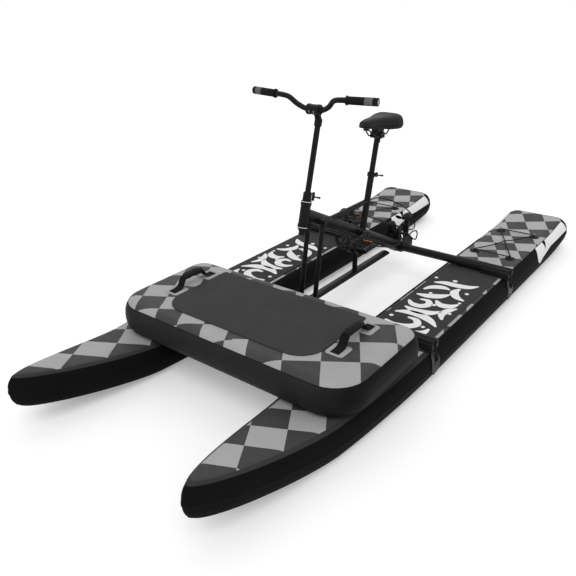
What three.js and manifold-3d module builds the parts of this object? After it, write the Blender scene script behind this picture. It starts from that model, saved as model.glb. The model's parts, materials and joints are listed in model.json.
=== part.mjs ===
// Pontoon water bike: two inflated hulls, a bicycle-like frame on two cross beams,
// an inflated front platform, and a pedal drive behind the rear beam.
// Millimetres, +X to the rider's left, +Y aft, +Z up. Origin below the middle, on the ground.
import * as THREE from 'three';
import { mergeVertices } from 'three/addons/utils/BufferGeometryUtils.js';
import Module from 'manifold-3d';

const wasm = await Module();
wasm.setup();

// Driving dimensions: hulls
const hullLength = 3100;
const hullWidth = 390;
const hullThickness = 150;
const hullInset = 178;
const bowTaper = 1280;
const bowFineness = 1.25;
const bowRise = 104;
const bowRiseInset = 24;
const bowRisePower = 1.26;
const sternCorner = 85;
const sternRise = 38;
const sternRiseLength = 350;
const sternRisePower = 1.6;
const hullRounding = 64;
const deckPadThickness = 5;
const deckPadWidth = 276;
const deckPadFront = -372;
const deckPadCorner = 18;
const deckPadTail = 36;

// Driving dimensions: front platform
const platformWidth = 1230;
const platformDepth = 572;
const platformThickness = 150;
const platformBack = -413;
const platformOffset = 33;
const platformCorner = 155;
const platformBackCorner = 90;
const platformRounding = 58;
const platformPadMargin = 229;
const platformPadFront = 97;
const platformPadBack = 75;
const platformPadCorner = 110;
const platformPadBackCorner = 12;
const platformPadThickness = 5;

// Driving dimensions: cross beams and frame
const beamDiameter = 44;
const beamWall = 2.5;
const beamSpan = 1276;
const frontBeamY = -320;
const rearBeamY = 525;
const footFloor = 4.5;
const mainBeamWidth = 42;
const mainBeamHeight = 58;
const headLowerY = -350;
const headLowerRise = 382;
const headTubeLength = 100;
const headTubeDiameter = 44;
const headBore = 34;
const headJoint = 51;
const steerLean = 15.2;
const bbY = 86;
const bbShellDiameter = 42;
const bbShellWidth = 68;
const bbBore = 34;
const seatFootY = 145;
const seatLean = 13.9;
const seatTubeLength = 309;
const seatTubeDiameter = 31.8;
const seatBoreDepth = 232;
const strutRise = 352;
const strutDiameter = 25;
const legTopY = -254;
const legTopDrop = 12;
const legDiameter = 22;
const legSpread = 78;
const legBoltDiameter = 10;
const railWidth = 50;
const railHeight = 22;
const postDiameter = 26;

// Driving dimensions: steering
const steererDiameter = 28.6;
const steeringPostDiameter = 25;
const steeringPostTop = 452;
const steeringPostFoot = 20;
const stemReach = 42;
const stemRise = 36;
const barDiameter = 22.2;
const barSpan = 608;
const barRise = 56;
const barSweep = 18;
const gripLength = 128;
const gripDiameter = 32;

// Driving dimensions: seat
const seatPostDiameter = 27.2;
const seatPostTop = 481;
const seatPostBottomHeight = 180;
const saddleLength = 272;
const saddleWidth = 168;
const saddleHeight = 62;

// Driving dimensions: pedals and drive
const crankLength = 170;
const crankThickness = 14;
const axleDiameter = 17;
const chainPitch = 12.7;
const chainringTeeth = 48;
const sprocketTeeth = 16;
const chainLine = 51;
const jackshaftY = 565;
const jackshaftRise = 62;
const jackshaftDiameter = 14;
const pivotY = 625;
const pivotDrop = 32;
const pivotShaftDiameter = 16;
const legChord = 46;
const legBreadth = 30;
const driveLegReach = 176;
const propellerDiameter = 104;

// Clearances and overruns
const seatGap = 0.3;
const runningGap = 0.3;
const overrun = 20;

// Derived places: the hulls stand a fixed way in from the ends of the beams.
const hullSpacing = beamSpan - 2 * hullInset;
const platformPadWidth = platformWidth - 2 * platformPadMargin;

// Derived heights and lines
const deckZ = hullThickness + seatGap;
const deckPadTop = deckZ + deckPadThickness;
const beamRadius = beamDiameter / 2;
const beamZ = deckPadTop + seatGap + footFloor + seatGap + beamRadius;
const platformTop = deckZ + platformThickness;
const platformFront = platformBack - platformDepth;
const bowRiseStart = platformFront + bowRiseInset;
const steerAngle = THREE.MathUtils.degToRad(steerLean);
const seatAngle = THREE.MathUtils.degToRad(seatLean);
const headLower = new THREE.Vector3(0, headLowerY, beamZ + headLowerRise);
const steerAxis = new THREE.Vector3(0, Math.sin(steerAngle), Math.cos(steerAngle));
const headPoint = headLower.clone().addScaledVector(steerAxis, headJoint);
const rearPoint = new THREE.Vector3(0, rearBeamY, beamZ);
const frontPoint = new THREE.Vector3(0, frontBeamY, beamZ);
const beamSlope = (headPoint.z - rearPoint.z) / (headPoint.y - rearPoint.y);
const onMainBeam = (y) => new THREE.Vector3(0, y, rearPoint.z + (y - rearPoint.y) * beamSlope);
const onMainBeamAt = (z) => new THREE.Vector3(0, rearPoint.y + (z - rearPoint.z) / beamSlope, z);
const bbPoint = onMainBeam(bbY);
const seatFoot = onMainBeam(seatFootY);
const seatAxis = new THREE.Vector3(0, Math.sin(seatAngle), Math.cos(seatAngle));
const jackPoint = new THREE.Vector3(0, jackshaftY, beamZ + jackshaftRise);
const pivotPoint = new THREE.Vector3(0, pivotY, beamZ - pivotDrop);

// Materials
const finish = {
  hull: [0x2b2b2c, 0.55, 0.0],
  foam: [0x434344, 0.9, 0.0],
  satinBlack: [0x1c1c1d, 0.42, 0.6],
  silver: [0xb9bbbd, 0.3, 0.9],
  rubber: [0x202021, 0.8, 0.0],
  plastic: [0x232324, 0.5, 0.0],
  leather: [0x3b3b3c, 0.6, 0.0],
  webbing: [0x2a2a2b, 0.85, 0.0],
  patch: [0xa4a4a5, 0.8, 0.0],
};

const model = new THREE.Group();
model.name = 'pontoon_water_bike';

function material(kind) {
  const [color, roughness, metalness] = finish[kind];
  return new THREE.MeshStandardMaterial({ color, roughness, metalness });
}

function addMesh(name, geometry, kind, parent = model) {
  const mesh = new THREE.Mesh(geometry, material(kind));
  mesh.name = name;
  parent.add(mesh);
  return mesh;
}

// Booleans
function toSolid(geometry) {
  const bare = geometry.index ? geometry.toNonIndexed() : geometry.clone();
  bare.deleteAttribute('normal');
  bare.deleteAttribute('uv');
  const merged = mergeVertices(bare, 1e-3);
  return new wasm.Manifold(new wasm.Mesh({
    numProp: 3,
    vertProperties: new Float32Array(merged.attributes.position.array),
    triVerts: new Uint32Array(merged.index.array),
  }));
}

function toGeometry(solid) {
  const mesh = solid.getMesh();
  const geometry = new THREE.BufferGeometry();
  geometry.setAttribute('position', new THREE.BufferAttribute(new Float32Array(mesh.vertProperties), 3));
  geometry.setIndex(new THREE.BufferAttribute(new Uint32Array(mesh.triVerts), 1));
  geometry.computeVertexNormals();
  return geometry;
}

function join(...geometries) {
  let solid = toSolid(geometries[0]);
  for (const geometry of geometries.slice(1)) solid = solid.add(toSolid(geometry));
  return toGeometry(solid);
}

function cut(geometry, ...tools) {
  let solid = toSolid(geometry);
  for (const tool of tools) solid = solid.subtract(toSolid(tool));
  return toGeometry(solid);
}

// Basic shapes
function rod(from, to, radius, sides = 16, radiusAcross = radius) {
  const direction = to.clone().sub(from);
  const geometry = new THREE.CylinderGeometry(1, 1, direction.length(), sides);
  geometry.rotateX(Math.PI / 2);
  geometry.scale(radius, radiusAcross, 1);
  const zAxis = direction.clone().normalize();
  const across = new THREE.Vector3(1, 0, 0);
  if (Math.abs(zAxis.x) > 0.9) across.set(0, 1, 0);
  const yAxis = zAxis.clone().cross(across).normalize();
  const xAxis = yAxis.clone().cross(zAxis);
  const matrix = new THREE.Matrix4().makeBasis(xAxis, yAxis, zAxis);
  matrix.setPosition(from.clone().add(to).multiplyScalar(0.5));
  return geometry.applyMatrix4(matrix);
}

function rodX(x0, x1, y, z, radius, sides = 16) {
  return rod(new THREE.Vector3(x0, y, z), new THREE.Vector3(x1, y, z), radius, sides);
}

function rodZ(z0, z1, radius, sides = 16) {
  return rod(new THREE.Vector3(0, 0, z0), new THREE.Vector3(0, 0, z1), radius, sides);
}

function block(x0, x1, y0, y1, z0, z1) {
  const geometry = new THREE.BoxGeometry(x1 - x0, y1 - y0, z1 - z0);
  return geometry.translate((x0 + x1) / 2, (y0 + y1) / 2, (z0 + z1) / 2);
}

// An outline drawn in Y and Z, given thickness along X from x0 to x1.
function plateX(shape, x0, x1, curveSegments = 8) {
  const geometry = new THREE.ExtrudeGeometry(shape, { depth: x1 - x0, bevelEnabled: false, curveSegments });
  const matrix = new THREE.Matrix4().makeBasis(
    new THREE.Vector3(0, 1, 0), new THREE.Vector3(0, 0, 1), new THREE.Vector3(1, 0, 0));
  return geometry.applyMatrix4(matrix).translate(x0, 0, 0);
}

// An outline drawn in X and Z, given thickness along Y from y0 to y1.
function plateY(shape, y0, y1, curveSegments = 8) {
  const geometry = new THREE.ExtrudeGeometry(shape, { depth: y1 - y0, bevelEnabled: false, curveSegments });
  return geometry.rotateX(Math.PI / 2).translate(0, y1, 0);
}

// An outline drawn in X and Y, given thickness along Z from z0 to z1.
function plateZ(shape, z0, z1, curveSegments = 8) {
  const geometry = new THREE.ExtrudeGeometry(shape, { depth: z1 - z0, bevelEnabled: false, curveSegments });
  return geometry.translate(0, 0, z0);
}

function polygon(points) {
  return new THREE.Shape(points.map(([a, b]) => new THREE.Vector2(a, b)));
}

function circleShape(a, b, radius, sides) {
  const points = [];
  for (let i = 0; i < sides; i += 1) {
    const turn = (2 * Math.PI * i) / sides;
    points.push([a + radius * Math.cos(turn), b + radius * Math.sin(turn)]);
  }
  return polygon(points);
}

function roundedRectangle(x0, x1, y0, y1, frontRadius, backRadius = frontRadius) {
  const shape = new THREE.Shape();
  shape.moveTo(x0 + frontRadius, y0);
  shape.lineTo(x1 - frontRadius, y0);
  shape.absarc(x1 - frontRadius, y0 + frontRadius, frontRadius, -Math.PI / 2, 0, false);
  shape.lineTo(x1, y1 - backRadius);
  shape.absarc(x1 - backRadius, y1 - backRadius, backRadius, 0, Math.PI / 2, false);
  shape.lineTo(x0 + backRadius, y1);
  shape.absarc(x0 + backRadius, y1 - backRadius, backRadius, Math.PI / 2, Math.PI, false);
  shape.lineTo(x0, y0 + frontRadius);
  shape.absarc(x0 + frontRadius, y0 + frontRadius, frontRadius, Math.PI, 1.5 * Math.PI, false);
  return shape;
}

// The convex outline round several circles [a, b, radius], for plates and arms.
function hullOutline(circles, sides = 12) {
  const points = [];
  for (const [a, b, radius] of circles) {
    for (let i = 0; i < sides; i += 1) {
      const turn = (2 * Math.PI * i) / sides;
      points.push([a + radius * Math.cos(turn), b + radius * Math.sin(turn)]);
    }
  }
  points.sort((p, q) => p[0] - q[0] || p[1] - q[1]);
  const turnOf = (o, p, q) => (p[0] - o[0]) * (q[1] - o[1]) - (p[1] - o[1]) * (q[0] - o[0]);
  const half = (list) => {
    const chain = [];
    for (const point of list) {
      while (chain.length > 1 && turnOf(chain.at(-2), chain.at(-1), point) <= 0) chain.pop();
      chain.push(point);
    }
    chain.pop();
    return chain;
  };
  return polygon([...half(points), ...half(points.slice().reverse())]);
}

// The radius to draw so that a many-sided hole clears a round of the given radius.
function around(radius, sides = 16) {
  return radius / Math.cos(Math.PI / sides);
}

// A route that steps exactly through its listed points.
class Route extends THREE.Curve {
  constructor(points) {
    super();
    this.points = points;
  }

  getPoint(t, target = new THREE.Vector3()) {
    const at = t * (this.points.length - 1);
    const index = Math.min(Math.floor(at), this.points.length - 2);
    return target.lerpVectors(this.points[index], this.points[index + 1], at - index);
  }

  getPointAt(u, target) {
    return this.getPoint(u, target);
  }

  getTangentAt(u, target = new THREE.Vector3()) {
    const half = 0.5 / (this.points.length - 1);
    const before = this.getPoint(Math.max(0, u - half));
    return target.subVectors(this.getPoint(Math.min(1, u + half)), before).normalize();
  }
}

// Corners of a list of points turned into short bends.
function rounded(corners, reach, steps = 4) {
  const points = [corners[0].clone()];
  for (let i = 1; i < corners.length - 1; i += 1) {
    const toBefore = corners[i - 1].clone().sub(corners[i]);
    const toAfter = corners[i + 1].clone().sub(corners[i]);
    const start = corners[i].clone().addScaledVector(toBefore.normalize(), reach);
    const end = corners[i].clone().addScaledVector(toAfter.normalize(), reach);
    for (let k = 0; k <= steps; k += 1) {
      const share = k / steps;
      const first = start.clone().lerp(corners[i], share);
      const second = corners[i].clone().lerp(end, share);
      points.push(first.lerp(second, share));
    }
  }
  points.push(corners.at(-1).clone());
  return points;
}

function routeTube(points, radius, sides = 8) {
  return new THREE.ExtrudeGeometry(circleShape(0, 0, radius, sides), {
    steps: points.length - 1, bevelEnabled: false, extrudePath: new Route(points),
  });
}

// A band of even thickness about a line of flat points.
function bandShape(points, thickness) {
  const left = [];
  const right = [];
  points.forEach(([a, b], i) => {
    const [a0, b0] = points[Math.max(0, i - 1)];
    const [a1, b1] = points[Math.min(points.length - 1, i + 1)];
    const length = Math.hypot(a1 - a0, b1 - b0);
    const [na, nb] = [-(b1 - b0) / length, (a1 - a0) / length];
    left.push([a + (na * thickness) / 2, b + (nb * thickness) / 2]);
    right.push([a - (na * thickness) / 2, b - (nb * thickness) / 2]);
  });
  return polygon([...right, ...left.reverse()]);
}

// A closed skin through rings of points, closed at both ends.
function loft(rings) {
  const count = rings[0].length;
  const positions = [];
  const indices = [];
  for (const ring of rings) for (const point of ring) positions.push(point.x, point.y, point.z);
  for (let r = 0; r < rings.length - 1; r += 1) {
    for (let i = 0; i < count; i += 1) {
      const a = r * count + i;
      const b = r * count + ((i + 1) % count);
      indices.push(a, b, b + count, a, b + count, a + count);
    }
  }
  [0, rings.length - 1].forEach((r, end) => {
    const middle = new THREE.Vector3();
    for (const point of rings[r]) middle.addScaledVector(point, 1 / count);
    const centre = positions.length / 3;
    positions.push(middle.x, middle.y, middle.z);
    for (let i = 0; i < count; i += 1) {
      const a = r * count + i;
      const b = r * count + ((i + 1) % count);
      if (end) indices.push(a, b, centre);
      else indices.push(b, a, centre);
    }
  });
  const geometry = new THREE.BufferGeometry();
  geometry.setAttribute('position', new THREE.Float32BufferAttribute(positions, 3));
  geometry.setIndex(indices);
  return facingOut(geometry);
}

// Turns every face over when the skin encloses a negative volume.
function facingOut(geometry) {
  const at = geometry.attributes.position;
  const index = geometry.index;
  const [a, b, c] = [new THREE.Vector3(), new THREE.Vector3(), new THREE.Vector3()];
  let volume = 0;
  for (let i = 0; i < index.count; i += 3) {
    a.fromBufferAttribute(at, index.getX(i));
    b.fromBufferAttribute(at, index.getX(i + 1));
    c.fromBufferAttribute(at, index.getX(i + 2));
    volume += a.dot(b.cross(c));
  }
  if (volume < 0) {
    for (let i = 0; i < index.count; i += 3) {
      const first = index.getX(i);
      index.setX(i, index.getX(i + 1));
      index.setX(i + 1, first);
    }
  }
  geometry.computeVertexNormals();
  return geometry;
}

function mirrorX(geometry) {
  const bare = mergeBare(geometry);
  bare.scale(-1, 1, 1);
  return facingOut(bare);
}

function mergeBare(geometry) {
  const bare = geometry.clone();
  bare.deleteAttribute('normal');
  bare.deleteAttribute('uv');
  return mergeVertices(bare, 1e-3);
}

const v = (x, y, z) => new THREE.Vector3(x, y, z);

// An inflated body: flat lids, upright walls and rounded edges, as rings of its outline.
// sideAt gives the +X half of the outline from front to back for an inset.
const roundSteps = 3;

function inflated(sideAt, thickness, rounding, liftAt = () => 0) {
  const levels = [];
  for (let i = 0; i <= roundSteps; i += 1) {
    const turn = (Math.PI / 2) * (i / roundSteps);
    levels.push([rounding * (1 - Math.sin(turn)), rounding * (1 - Math.cos(turn))]);
  }
  levels.push(...levels.slice().reverse().map(([inset, z]) => [inset, thickness - z]));
  const positions = [];
  const indices = [];
  let count = 0;
  let half = 0;
  for (const [inset, z] of levels) {
    const side = sideAt(inset);
    const mirrored = side.filter(([x]) => x > 0).reverse().map(([x, y]) => [-x, y]);
    const outline = [...side, ...mirrored];
    count = outline.length;
    half = side.length;
    for (const [x, y] of outline) {
      positions.push(x, y, z + liftAt(y));
    }
  }
  for (let ring = 0; ring < levels.length - 1; ring += 1) {
    for (let i = 0; i < count; i += 1) {
      const a = ring * count + i;
      const b = ring * count + ((i + 1) % count);
      indices.push(a, b, b + count, a, b + count, a + count);
    }
  }
  const pointed = count < 2 * half;
  const across = (k) => (pointed ? (count - k) % count : count - 1 - k);
  for (const top of [true, false]) {
    const base = top ? (levels.length - 1) * count : 0;
    for (let k = 0; k < half - 1; k += 1) {
      const [r0, r1, l0, l1] = [base + k, base + k + 1, base + across(k), base + across(k + 1)];
      const faces = r0 === l0 ? [[r0, r1, l1]] : [[r0, r1, l1], [r0, l1, l0]];
      for (const [p, q, s] of faces) indices.push(...(top ? [p, q, s] : [q, p, s]));
    }
  }
  const geometry = new THREE.BufferGeometry();
  geometry.setAttribute('position', new THREE.Float32BufferAttribute(positions, 3));
  geometry.setIndex(indices);
  return facingOut(geometry);
}

// Hulls: a fine bow, straight sides, round stern corners, and both ends swept up.
const bowTipSteps = 7;
const bowAftSteps = 3;
const sternSteps = 2;
const cornerSteps = 4;
const hullCentre = hullSpacing / 2;

function hullSide(inset) {
  const points = [];
  const taperY = bowTaper - hullLength / 2;
  const riseTurn = Math.acos((taperY - bowRiseStart) / bowTaper);
  const turns = [];
  for (let i = 0; i < bowTipSteps; i += 1) turns.push(riseTurn * (i / bowTipSteps));
  for (let i = 0; i <= bowAftSteps; i += 1) {
    turns.push(riseTurn + (Math.PI / 2 - riseTurn) * (i / bowAftSteps));
  }
  turns.forEach((turn, i) => points.push([
    i ? (hullWidth / 2 - inset) * Math.sin(turn) ** bowFineness : 0,
    taperY - (bowTaper - inset) * Math.cos(turn),
  ]));
  for (let i = 0; i < sternSteps; i += 1) {
    const run = (sternRiseLength - sternCorner) * (i / sternSteps);
    points.push([hullWidth / 2 - inset, hullLength / 2 - sternRiseLength + run]);
  }
  for (let i = 0; i <= cornerSteps; i += 1) {
    const turn = (Math.PI / 2) * (i / cornerSteps);
    const corner = sternCorner - inset;
    points.push([
      hullWidth / 2 - sternCorner + corner * Math.cos(turn),
      hullLength / 2 - sternCorner + corner * Math.sin(turn),
    ]);
  }
  return points;
}

function hullLift(y) {
  const bowShare = Math.max(0, (bowRiseStart - y) / (bowRiseStart + hullLength / 2));
  const sternShare = Math.max(0, (y - hullLength / 2 + sternRiseLength) / sternRiseLength);
  return bowRise * bowShare ** bowRisePower + sternRise * sternShare ** sternRisePower;
}

// Bungee rings on each stern, as places from the hull's centre line and from the rear beam.
const ringInner = 108;
const ringOuter = 98;
const ringForeBehindBeam = 247;
const ringSpacing = 393;
const ringPatchRadius = 27;
const ringPatchThickness = 3;
const ringRadius = 9;
const ringWire = 2.2;
const bungeeRadius = 3;
const bungeeBend = 16;
const ferruleRadius = 4.5;
const ferruleLength = 26;
const bungeeZ = hullThickness + ringPatchThickness + ringRadius;
const ringForeY = rearBeamY + ringForeBehindBeam;
const ringAftY = ringForeY + ringSpacing;
const bendSteps = 3;

const bungeeCorners = [
  v(-ringInner, ringAftY, bungeeZ),
  v(ringOuter, ringAftY, bungeeZ),
  v(-ringInner, ringForeY, bungeeZ),
  v(ringOuter, ringForeY, bungeeZ),
];

function bungeeRing(i) {
  const corner = bungeeCorners[i];
  const before = bungeeCorners[(i + 3) % 4];
  const after = bungeeCorners[(i + 1) % 4];
  const inward = before.clone().sub(corner).normalize();
  const onward = after.clone().sub(corner).normalize();
  const bisector = inward.clone().add(onward);
  const middle = corner.clone().addScaledVector(bisector, bungeeBend / 4);
  const slack = ringRadius - ringWire - bungeeRadius - 2 * seatGap;
  middle.addScaledVector(bisector.clone().normalize(), -slack);
  const along = onward.clone().sub(inward);
  const ring = new THREE.TorusGeometry(ringRadius, ringWire, 4, 8);
  ring.rotateX(Math.PI / 2);
  ring.rotateZ(Math.atan2(along.y, along.x) - Math.PI / 2);
  ring.translate(middle.x, middle.y, bungeeZ);
  const patch = rodZ(
    hullThickness - ringPatchThickness, hullThickness + ringPatchThickness, ringPatchRadius, 10);
  patch.translate(middle.x, middle.y, 0);
  return [ring, patch];
}

const hullShell = inflated(hullSide, hullThickness, hullRounding, hullLift);
const hullGeometry = join(hullShell, ...[0, 1, 2, 3].flatMap(bungeeRing));
addMesh('pontoon_right', hullGeometry, 'hull').position.x = -hullCentre;
addMesh('pontoon_left', hullGeometry.clone(), 'hull').position.x = hullCentre;

const cordJoin = bungeeCorners[3].clone().lerp(bungeeCorners[0], 0.5);
const cordWay = bungeeCorners[0].clone().sub(bungeeCorners[3]).normalize();
const bungeeRoute = rounded([
  cordJoin.clone().addScaledVector(cordWay, seatGap),
  ...bungeeCorners,
  cordJoin.clone().addScaledVector(cordWay, -seatGap),
], bungeeBend, bendSteps);
const ferrule = rod(
  cordJoin.clone().addScaledVector(cordWay, -ferruleLength / 2),
  cordJoin.clone().addScaledVector(cordWay, ferruleLength / 2), ferruleRadius, 12);
const bungeeGeometry = join(routeTube(bungeeRoute, bungeeRadius), ferrule);
addMesh('bungee_right', bungeeGeometry, 'rubber').position.x = -hullCentre;
addMesh('bungee_left', bungeeGeometry.clone(), 'rubber').position.x = hullCentre;

// Deck pads: foam sheets on the flat of each hull, under the beam feet.
const deckPadLength = rearBeamY + deckPadTail - deckPadFront;
const deckPadGeometry = plateZ(roundedRectangle(
  -deckPadWidth / 2, deckPadWidth / 2, deckPadFront, deckPadFront + deckPadLength, deckPadCorner,
), deckZ, deckPadTop, 4);
addMesh('deck_pad_right', deckPadGeometry, 'foam').position.x = -hullCentre;
addMesh('deck_pad_left', deckPadGeometry.clone(), 'foam').position.x = hullCentre;

// Front platform and its pad.
function platformSide(inset) {
  const points = [];
  for (const [end, radius] of [[-1, platformCorner], [1, platformBackCorner]]) {
    const corner = radius - inset;
    const cornerX = platformWidth / 2 - radius;
    const cornerY = (platformFront + platformBack) / 2 + end * (platformDepth / 2 - radius);
    for (let i = 0; i <= cornerSteps; i += 1) {
      const turn = (Math.PI / 2) * (end < 0 ? i / cornerSteps - 1 : i / cornerSteps);
      points.push([cornerX + corner * Math.cos(turn), cornerY + corner * Math.sin(turn)]);
    }
  }
  return points;
}

addMesh('platform', inflated(
  platformSide, platformThickness, platformRounding), 'hull').position.set(platformOffset, 0, deckZ);

const padZ = platformTop + seatGap;
addMesh('platform_pad', plateZ(roundedRectangle(
  platformOffset - platformPadWidth / 2, platformOffset + platformPadWidth / 2,
  platformFront + platformPadFront, platformBack - platformPadBack,
  platformPadCorner, platformPadBackCorner,
), padZ, padZ + platformPadThickness, 6), 'foam');

// Carry handles: webbing over two sewn patches, with a padded grip in the middle.
const handleInset = 185;
const handlePatchWidth = 78;
const handlePatchDepth = 82;
const handlePatchThickness = 2.5;
const handleFrontY = 229;
const handleSpacing = 198;
const handleStrapWidth = 38;
const handleStrapThickness = 3;
const handleRise = 52;
const handleGripLength = 118;
const handleGripRadius = 15;
const handleGripHalfWidth = 19.5;
const handleGripDrop = 2.6;
const handleShoulderShare = 0.86;
const handleStitchShares = [1 / 3, 1 / 4];

const handleMiddleY = platformFront + handleFrontY + handleSpacing / 2;
const handlePatchTop = padZ + handlePatchThickness;
const handleStrapPoints = [
  [-handleSpacing / 2 - handlePatchDepth * handleStitchShares[0], handlePatchTop],
  [-handleSpacing / 2 + handlePatchDepth * handleStitchShares[1], handlePatchTop],
  [-handleGripLength / 2, padZ + handleRise * handleShoulderShare],
  [0, padZ + handleRise],
  [handleGripLength / 2, padZ + handleRise * handleShoulderShare],
  [handleSpacing / 2 - handlePatchDepth * handleStitchShares[1], handlePatchTop],
  [handleSpacing / 2 + handlePatchDepth * handleStitchShares[0], handlePatchTop],
];
const handleStrap = plateX(
  bandShape(handleStrapPoints, handleStrapThickness), -handleStrapWidth / 2, handleStrapWidth / 2);
const handleGripZ = padZ + handleRise - handleGripDrop;
const handleGrip = rod(
  v(0, -handleGripLength / 2, handleGripZ), v(0, handleGripLength / 2, handleGripZ),
  handleGripHalfWidth, 16, handleGripRadius);
const handlePatches = [-1, 1].map((end) => block(
  -handlePatchWidth / 2, handlePatchWidth / 2,
  end * (handleSpacing / 2) - handlePatchDepth / 2, end * (handleSpacing / 2) + handlePatchDepth / 2,
  padZ, handlePatchTop));
const handleGeometry = join(handleStrap, handleGrip, ...handlePatches);
for (const [side, name] of [[-1, 'handle_right'], [1, 'handle_left']]) {
  const mesh = addMesh(name, handleGeometry.clone(), 'webbing');
  mesh.position.set(platformOffset + side * (platformWidth / 2 - handleInset), handleMiddleY, 0);
}

// Cross beams: open tubes.
function tubeX(x0, x1, y, z, outer, inner, sides = 16) {
  return cut(rodX(x0, x1, y, z, outer, sides), rodX(x0 - overrun, x1 + overrun, y, z, inner, sides));
}

for (const [name, y] of [['front_cross_beam', frontBeamY], ['rear_cross_beam', rearBeamY]]) {
  addMesh(name, tubeX(
    -beamSpan / 2, beamSpan / 2, y, beamZ, beamRadius, beamRadius - beamWall,
  ), 'satinBlack');
}

// Beam feet: a plain sleeve and a ribbed saddle block that sits on the deck pad.
const footWidth = 58;
const footLength = 137;
const sleeveLength = 137;
const sleeveWall = 3;
const footEndWall = 8;
const footRibs = 4;
const ribSteps = 4;
const footRibDepth = 2.5;
const footCrown = 24;
const footSquareShare = 0.2;
const buttonRadius = 5;
const buttonLength = 4.5;
const buttonHeadRadius = 9;
const buttonHead = 3;
const footBottom = deckPadTop + seatGap;
const footOuter = beamSpan / 2 + seatGap + footEndWall;
const footInner = beamSpan / 2 - footLength;
const sleeveInner = footInner - sleeveLength;

function footOutline() {
  const points = [[-footWidth / 2, footBottom], [footWidth / 2, footBottom]];
  const reach = footRibs * ribSteps;
  for (let i = 0; i <= reach; i += 1) {
    const turn = Math.PI * (i / reach);
    const groove = i % ribSteps < ribSteps / 2 ? 0 : footRibDepth;
    const side = (1 - footSquareShare) * Math.cos(turn) + footSquareShare * Math.cos(turn) ** 3;
    points.push([(footWidth / 2 - groove) * side, beamZ + (footCrown - groove) * Math.sin(turn)]);
  }
  return polygon(points);
}

function beamFoot() {
  const body = plateX(footOutline(), footInner, footOuter);
  const sleeve = rodX(sleeveInner, footInner + overrun, 0, beamZ, beamRadius + sleeveWall, 16);
  const stub = rodX(footOuter - seatGap, footOuter + buttonLength + seatGap, 0, beamZ, buttonRadius, 16);
  const head = rodX(
    footOuter + buttonLength, footOuter + buttonLength + buttonHead, 0, beamZ, buttonHeadRadius, 16);
  const bore = rodX(
    sleeveInner - overrun, beamSpan / 2 + seatGap, 0, beamZ, beamRadius + seatGap, 16);
  return cut(join(body, sleeve, stub, head), bore);
}

const footGeometry = beamFoot();
const footMirror = mirrorX(footGeometry);
for (const [place, y] of [['front', frontBeamY], ['rear', rearBeamY]]) {
  addMesh(`beam_foot_${place}_right`, footMirror.clone(), 'plastic').position.y = y;
  addMesh(`beam_foot_${place}_left`, footGeometry.clone(), 'plastic').position.y = y;
}

// Tie straps: a leaf patch on the hull's outer side, its ring, and webbing up to the foot's button.
const tiePatchWidth = 62;
const tiePatchThickness = 2.5;
const tiePatchTurn = 45;
const tiePatchUnder = 25;
const tieRingRise = 20;
const tieRingRadius = 13;
const tieRingWire = 2.5;
const tieRingStandOff = 0.8;
const tieWidth = 25;
const tieThickness = 2;
const tieTop = 14;
const tieSteps = 6;

function tieStrap() {
  const outerX = hullCentre + hullWidth / 2;
  const bendX = outerX - hullRounding;
  const bendZ = hullThickness - hullRounding;
  const standOff = seatGap + tiePatchThickness / 2;
  const arc = [];
  for (let i = tieSteps; i > 0; i -= 1) {
    const turn = THREE.MathUtils.degToRad(tiePatchUnder * (i / tieSteps));
    arc.push([
      bendX + (hullRounding + standOff) * Math.cos(turn),
      hullRounding - (hullRounding + standOff) * Math.sin(turn),
    ]);
  }
  for (let i = 0; i <= tieSteps; i += 1) {
    const turn = THREE.MathUtils.degToRad(tiePatchTurn * (i / tieSteps));
    arc.push([
      bendX + (hullRounding + standOff) * Math.cos(turn),
      bendZ + (hullRounding + standOff) * Math.sin(turn),
    ]);
  }
  const skin = plateY(bandShape(arc, tiePatchThickness), -tiePatchWidth / 2, tiePatchWidth / 2);
  const middleZ = (arc[0][1] + arc.at(-1)[1]) / 2;
  const halfHeight = (arc.at(-1)[1] - arc[0][1]) / 2 + tiePatchThickness;
  const leaf = new THREE.Shape();
  leaf.absellipse(0, middleZ, tiePatchWidth / 2, halfHeight, 0, 2 * Math.PI, false, 0);
  const prism = plateX(leaf, bendX, outerX + overrun, 4);
  const patch = toGeometry(toSolid(skin).intersect(toSolid(prism)));
  const ringX = outerX + seatGap + tiePatchThickness + tieRingStandOff;
  const ringZ = hullThickness / 2 + tieRingRise;
  const ring = new THREE.TorusGeometry(tieRingRadius, tieRingWire, 4, 10);
  ring.rotateY(Math.PI / 2);
  ring.translate(ringX, 0, ringZ);
  const strapX = footOuter + tieThickness / 2 + seatGap * 2;
  const strap = plateY(bandShape([
    [ringX, ringZ + tieRingRadius],
    [strapX, beamZ - buttonHeadRadius * 2],
    [strapX, beamZ + tieTop],
  ], tieThickness), -tieWidth / 2, tieWidth / 2);
  const hole = rodX(
    strapX - overrun, strapX + overrun, 0, beamZ, buttonRadius + seatGap, 16);
  return cut(join(patch, ring, strap), hole);
}

const tieGeometry = tieStrap();
const tieMirror = mirrorX(tieGeometry);
for (const [place, y] of [['front', frontBeamY], ['rear', rearBeamY]]) {
  addMesh(`tie_strap_${place}_right`, tieMirror.clone(), 'patch').position.y = y;
  addMesh(`tie_strap_${place}_left`, tieGeometry.clone(), 'patch').position.y = y;
}

// Main frame: head tube, oval main beam down to a sleeve on the rear beam, seat tube, strut,
// crank shell and bolt boss, welded as one.
const mainSleeveWall = 8;
const mainSleeveHalf = 26;
const bossRadius = 13;
const legEyeGap = 7;
const cleatRadius = 6;
const cleatLength = 8;
const cleatRise = 348;
const cableStopRadius = 6;
const cableStopWebRadius = 4.2;
const cableStopLength = 16;
const cableStopShare = 0.055;
const cableX = 18;
const cableDrop = 38;

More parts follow.
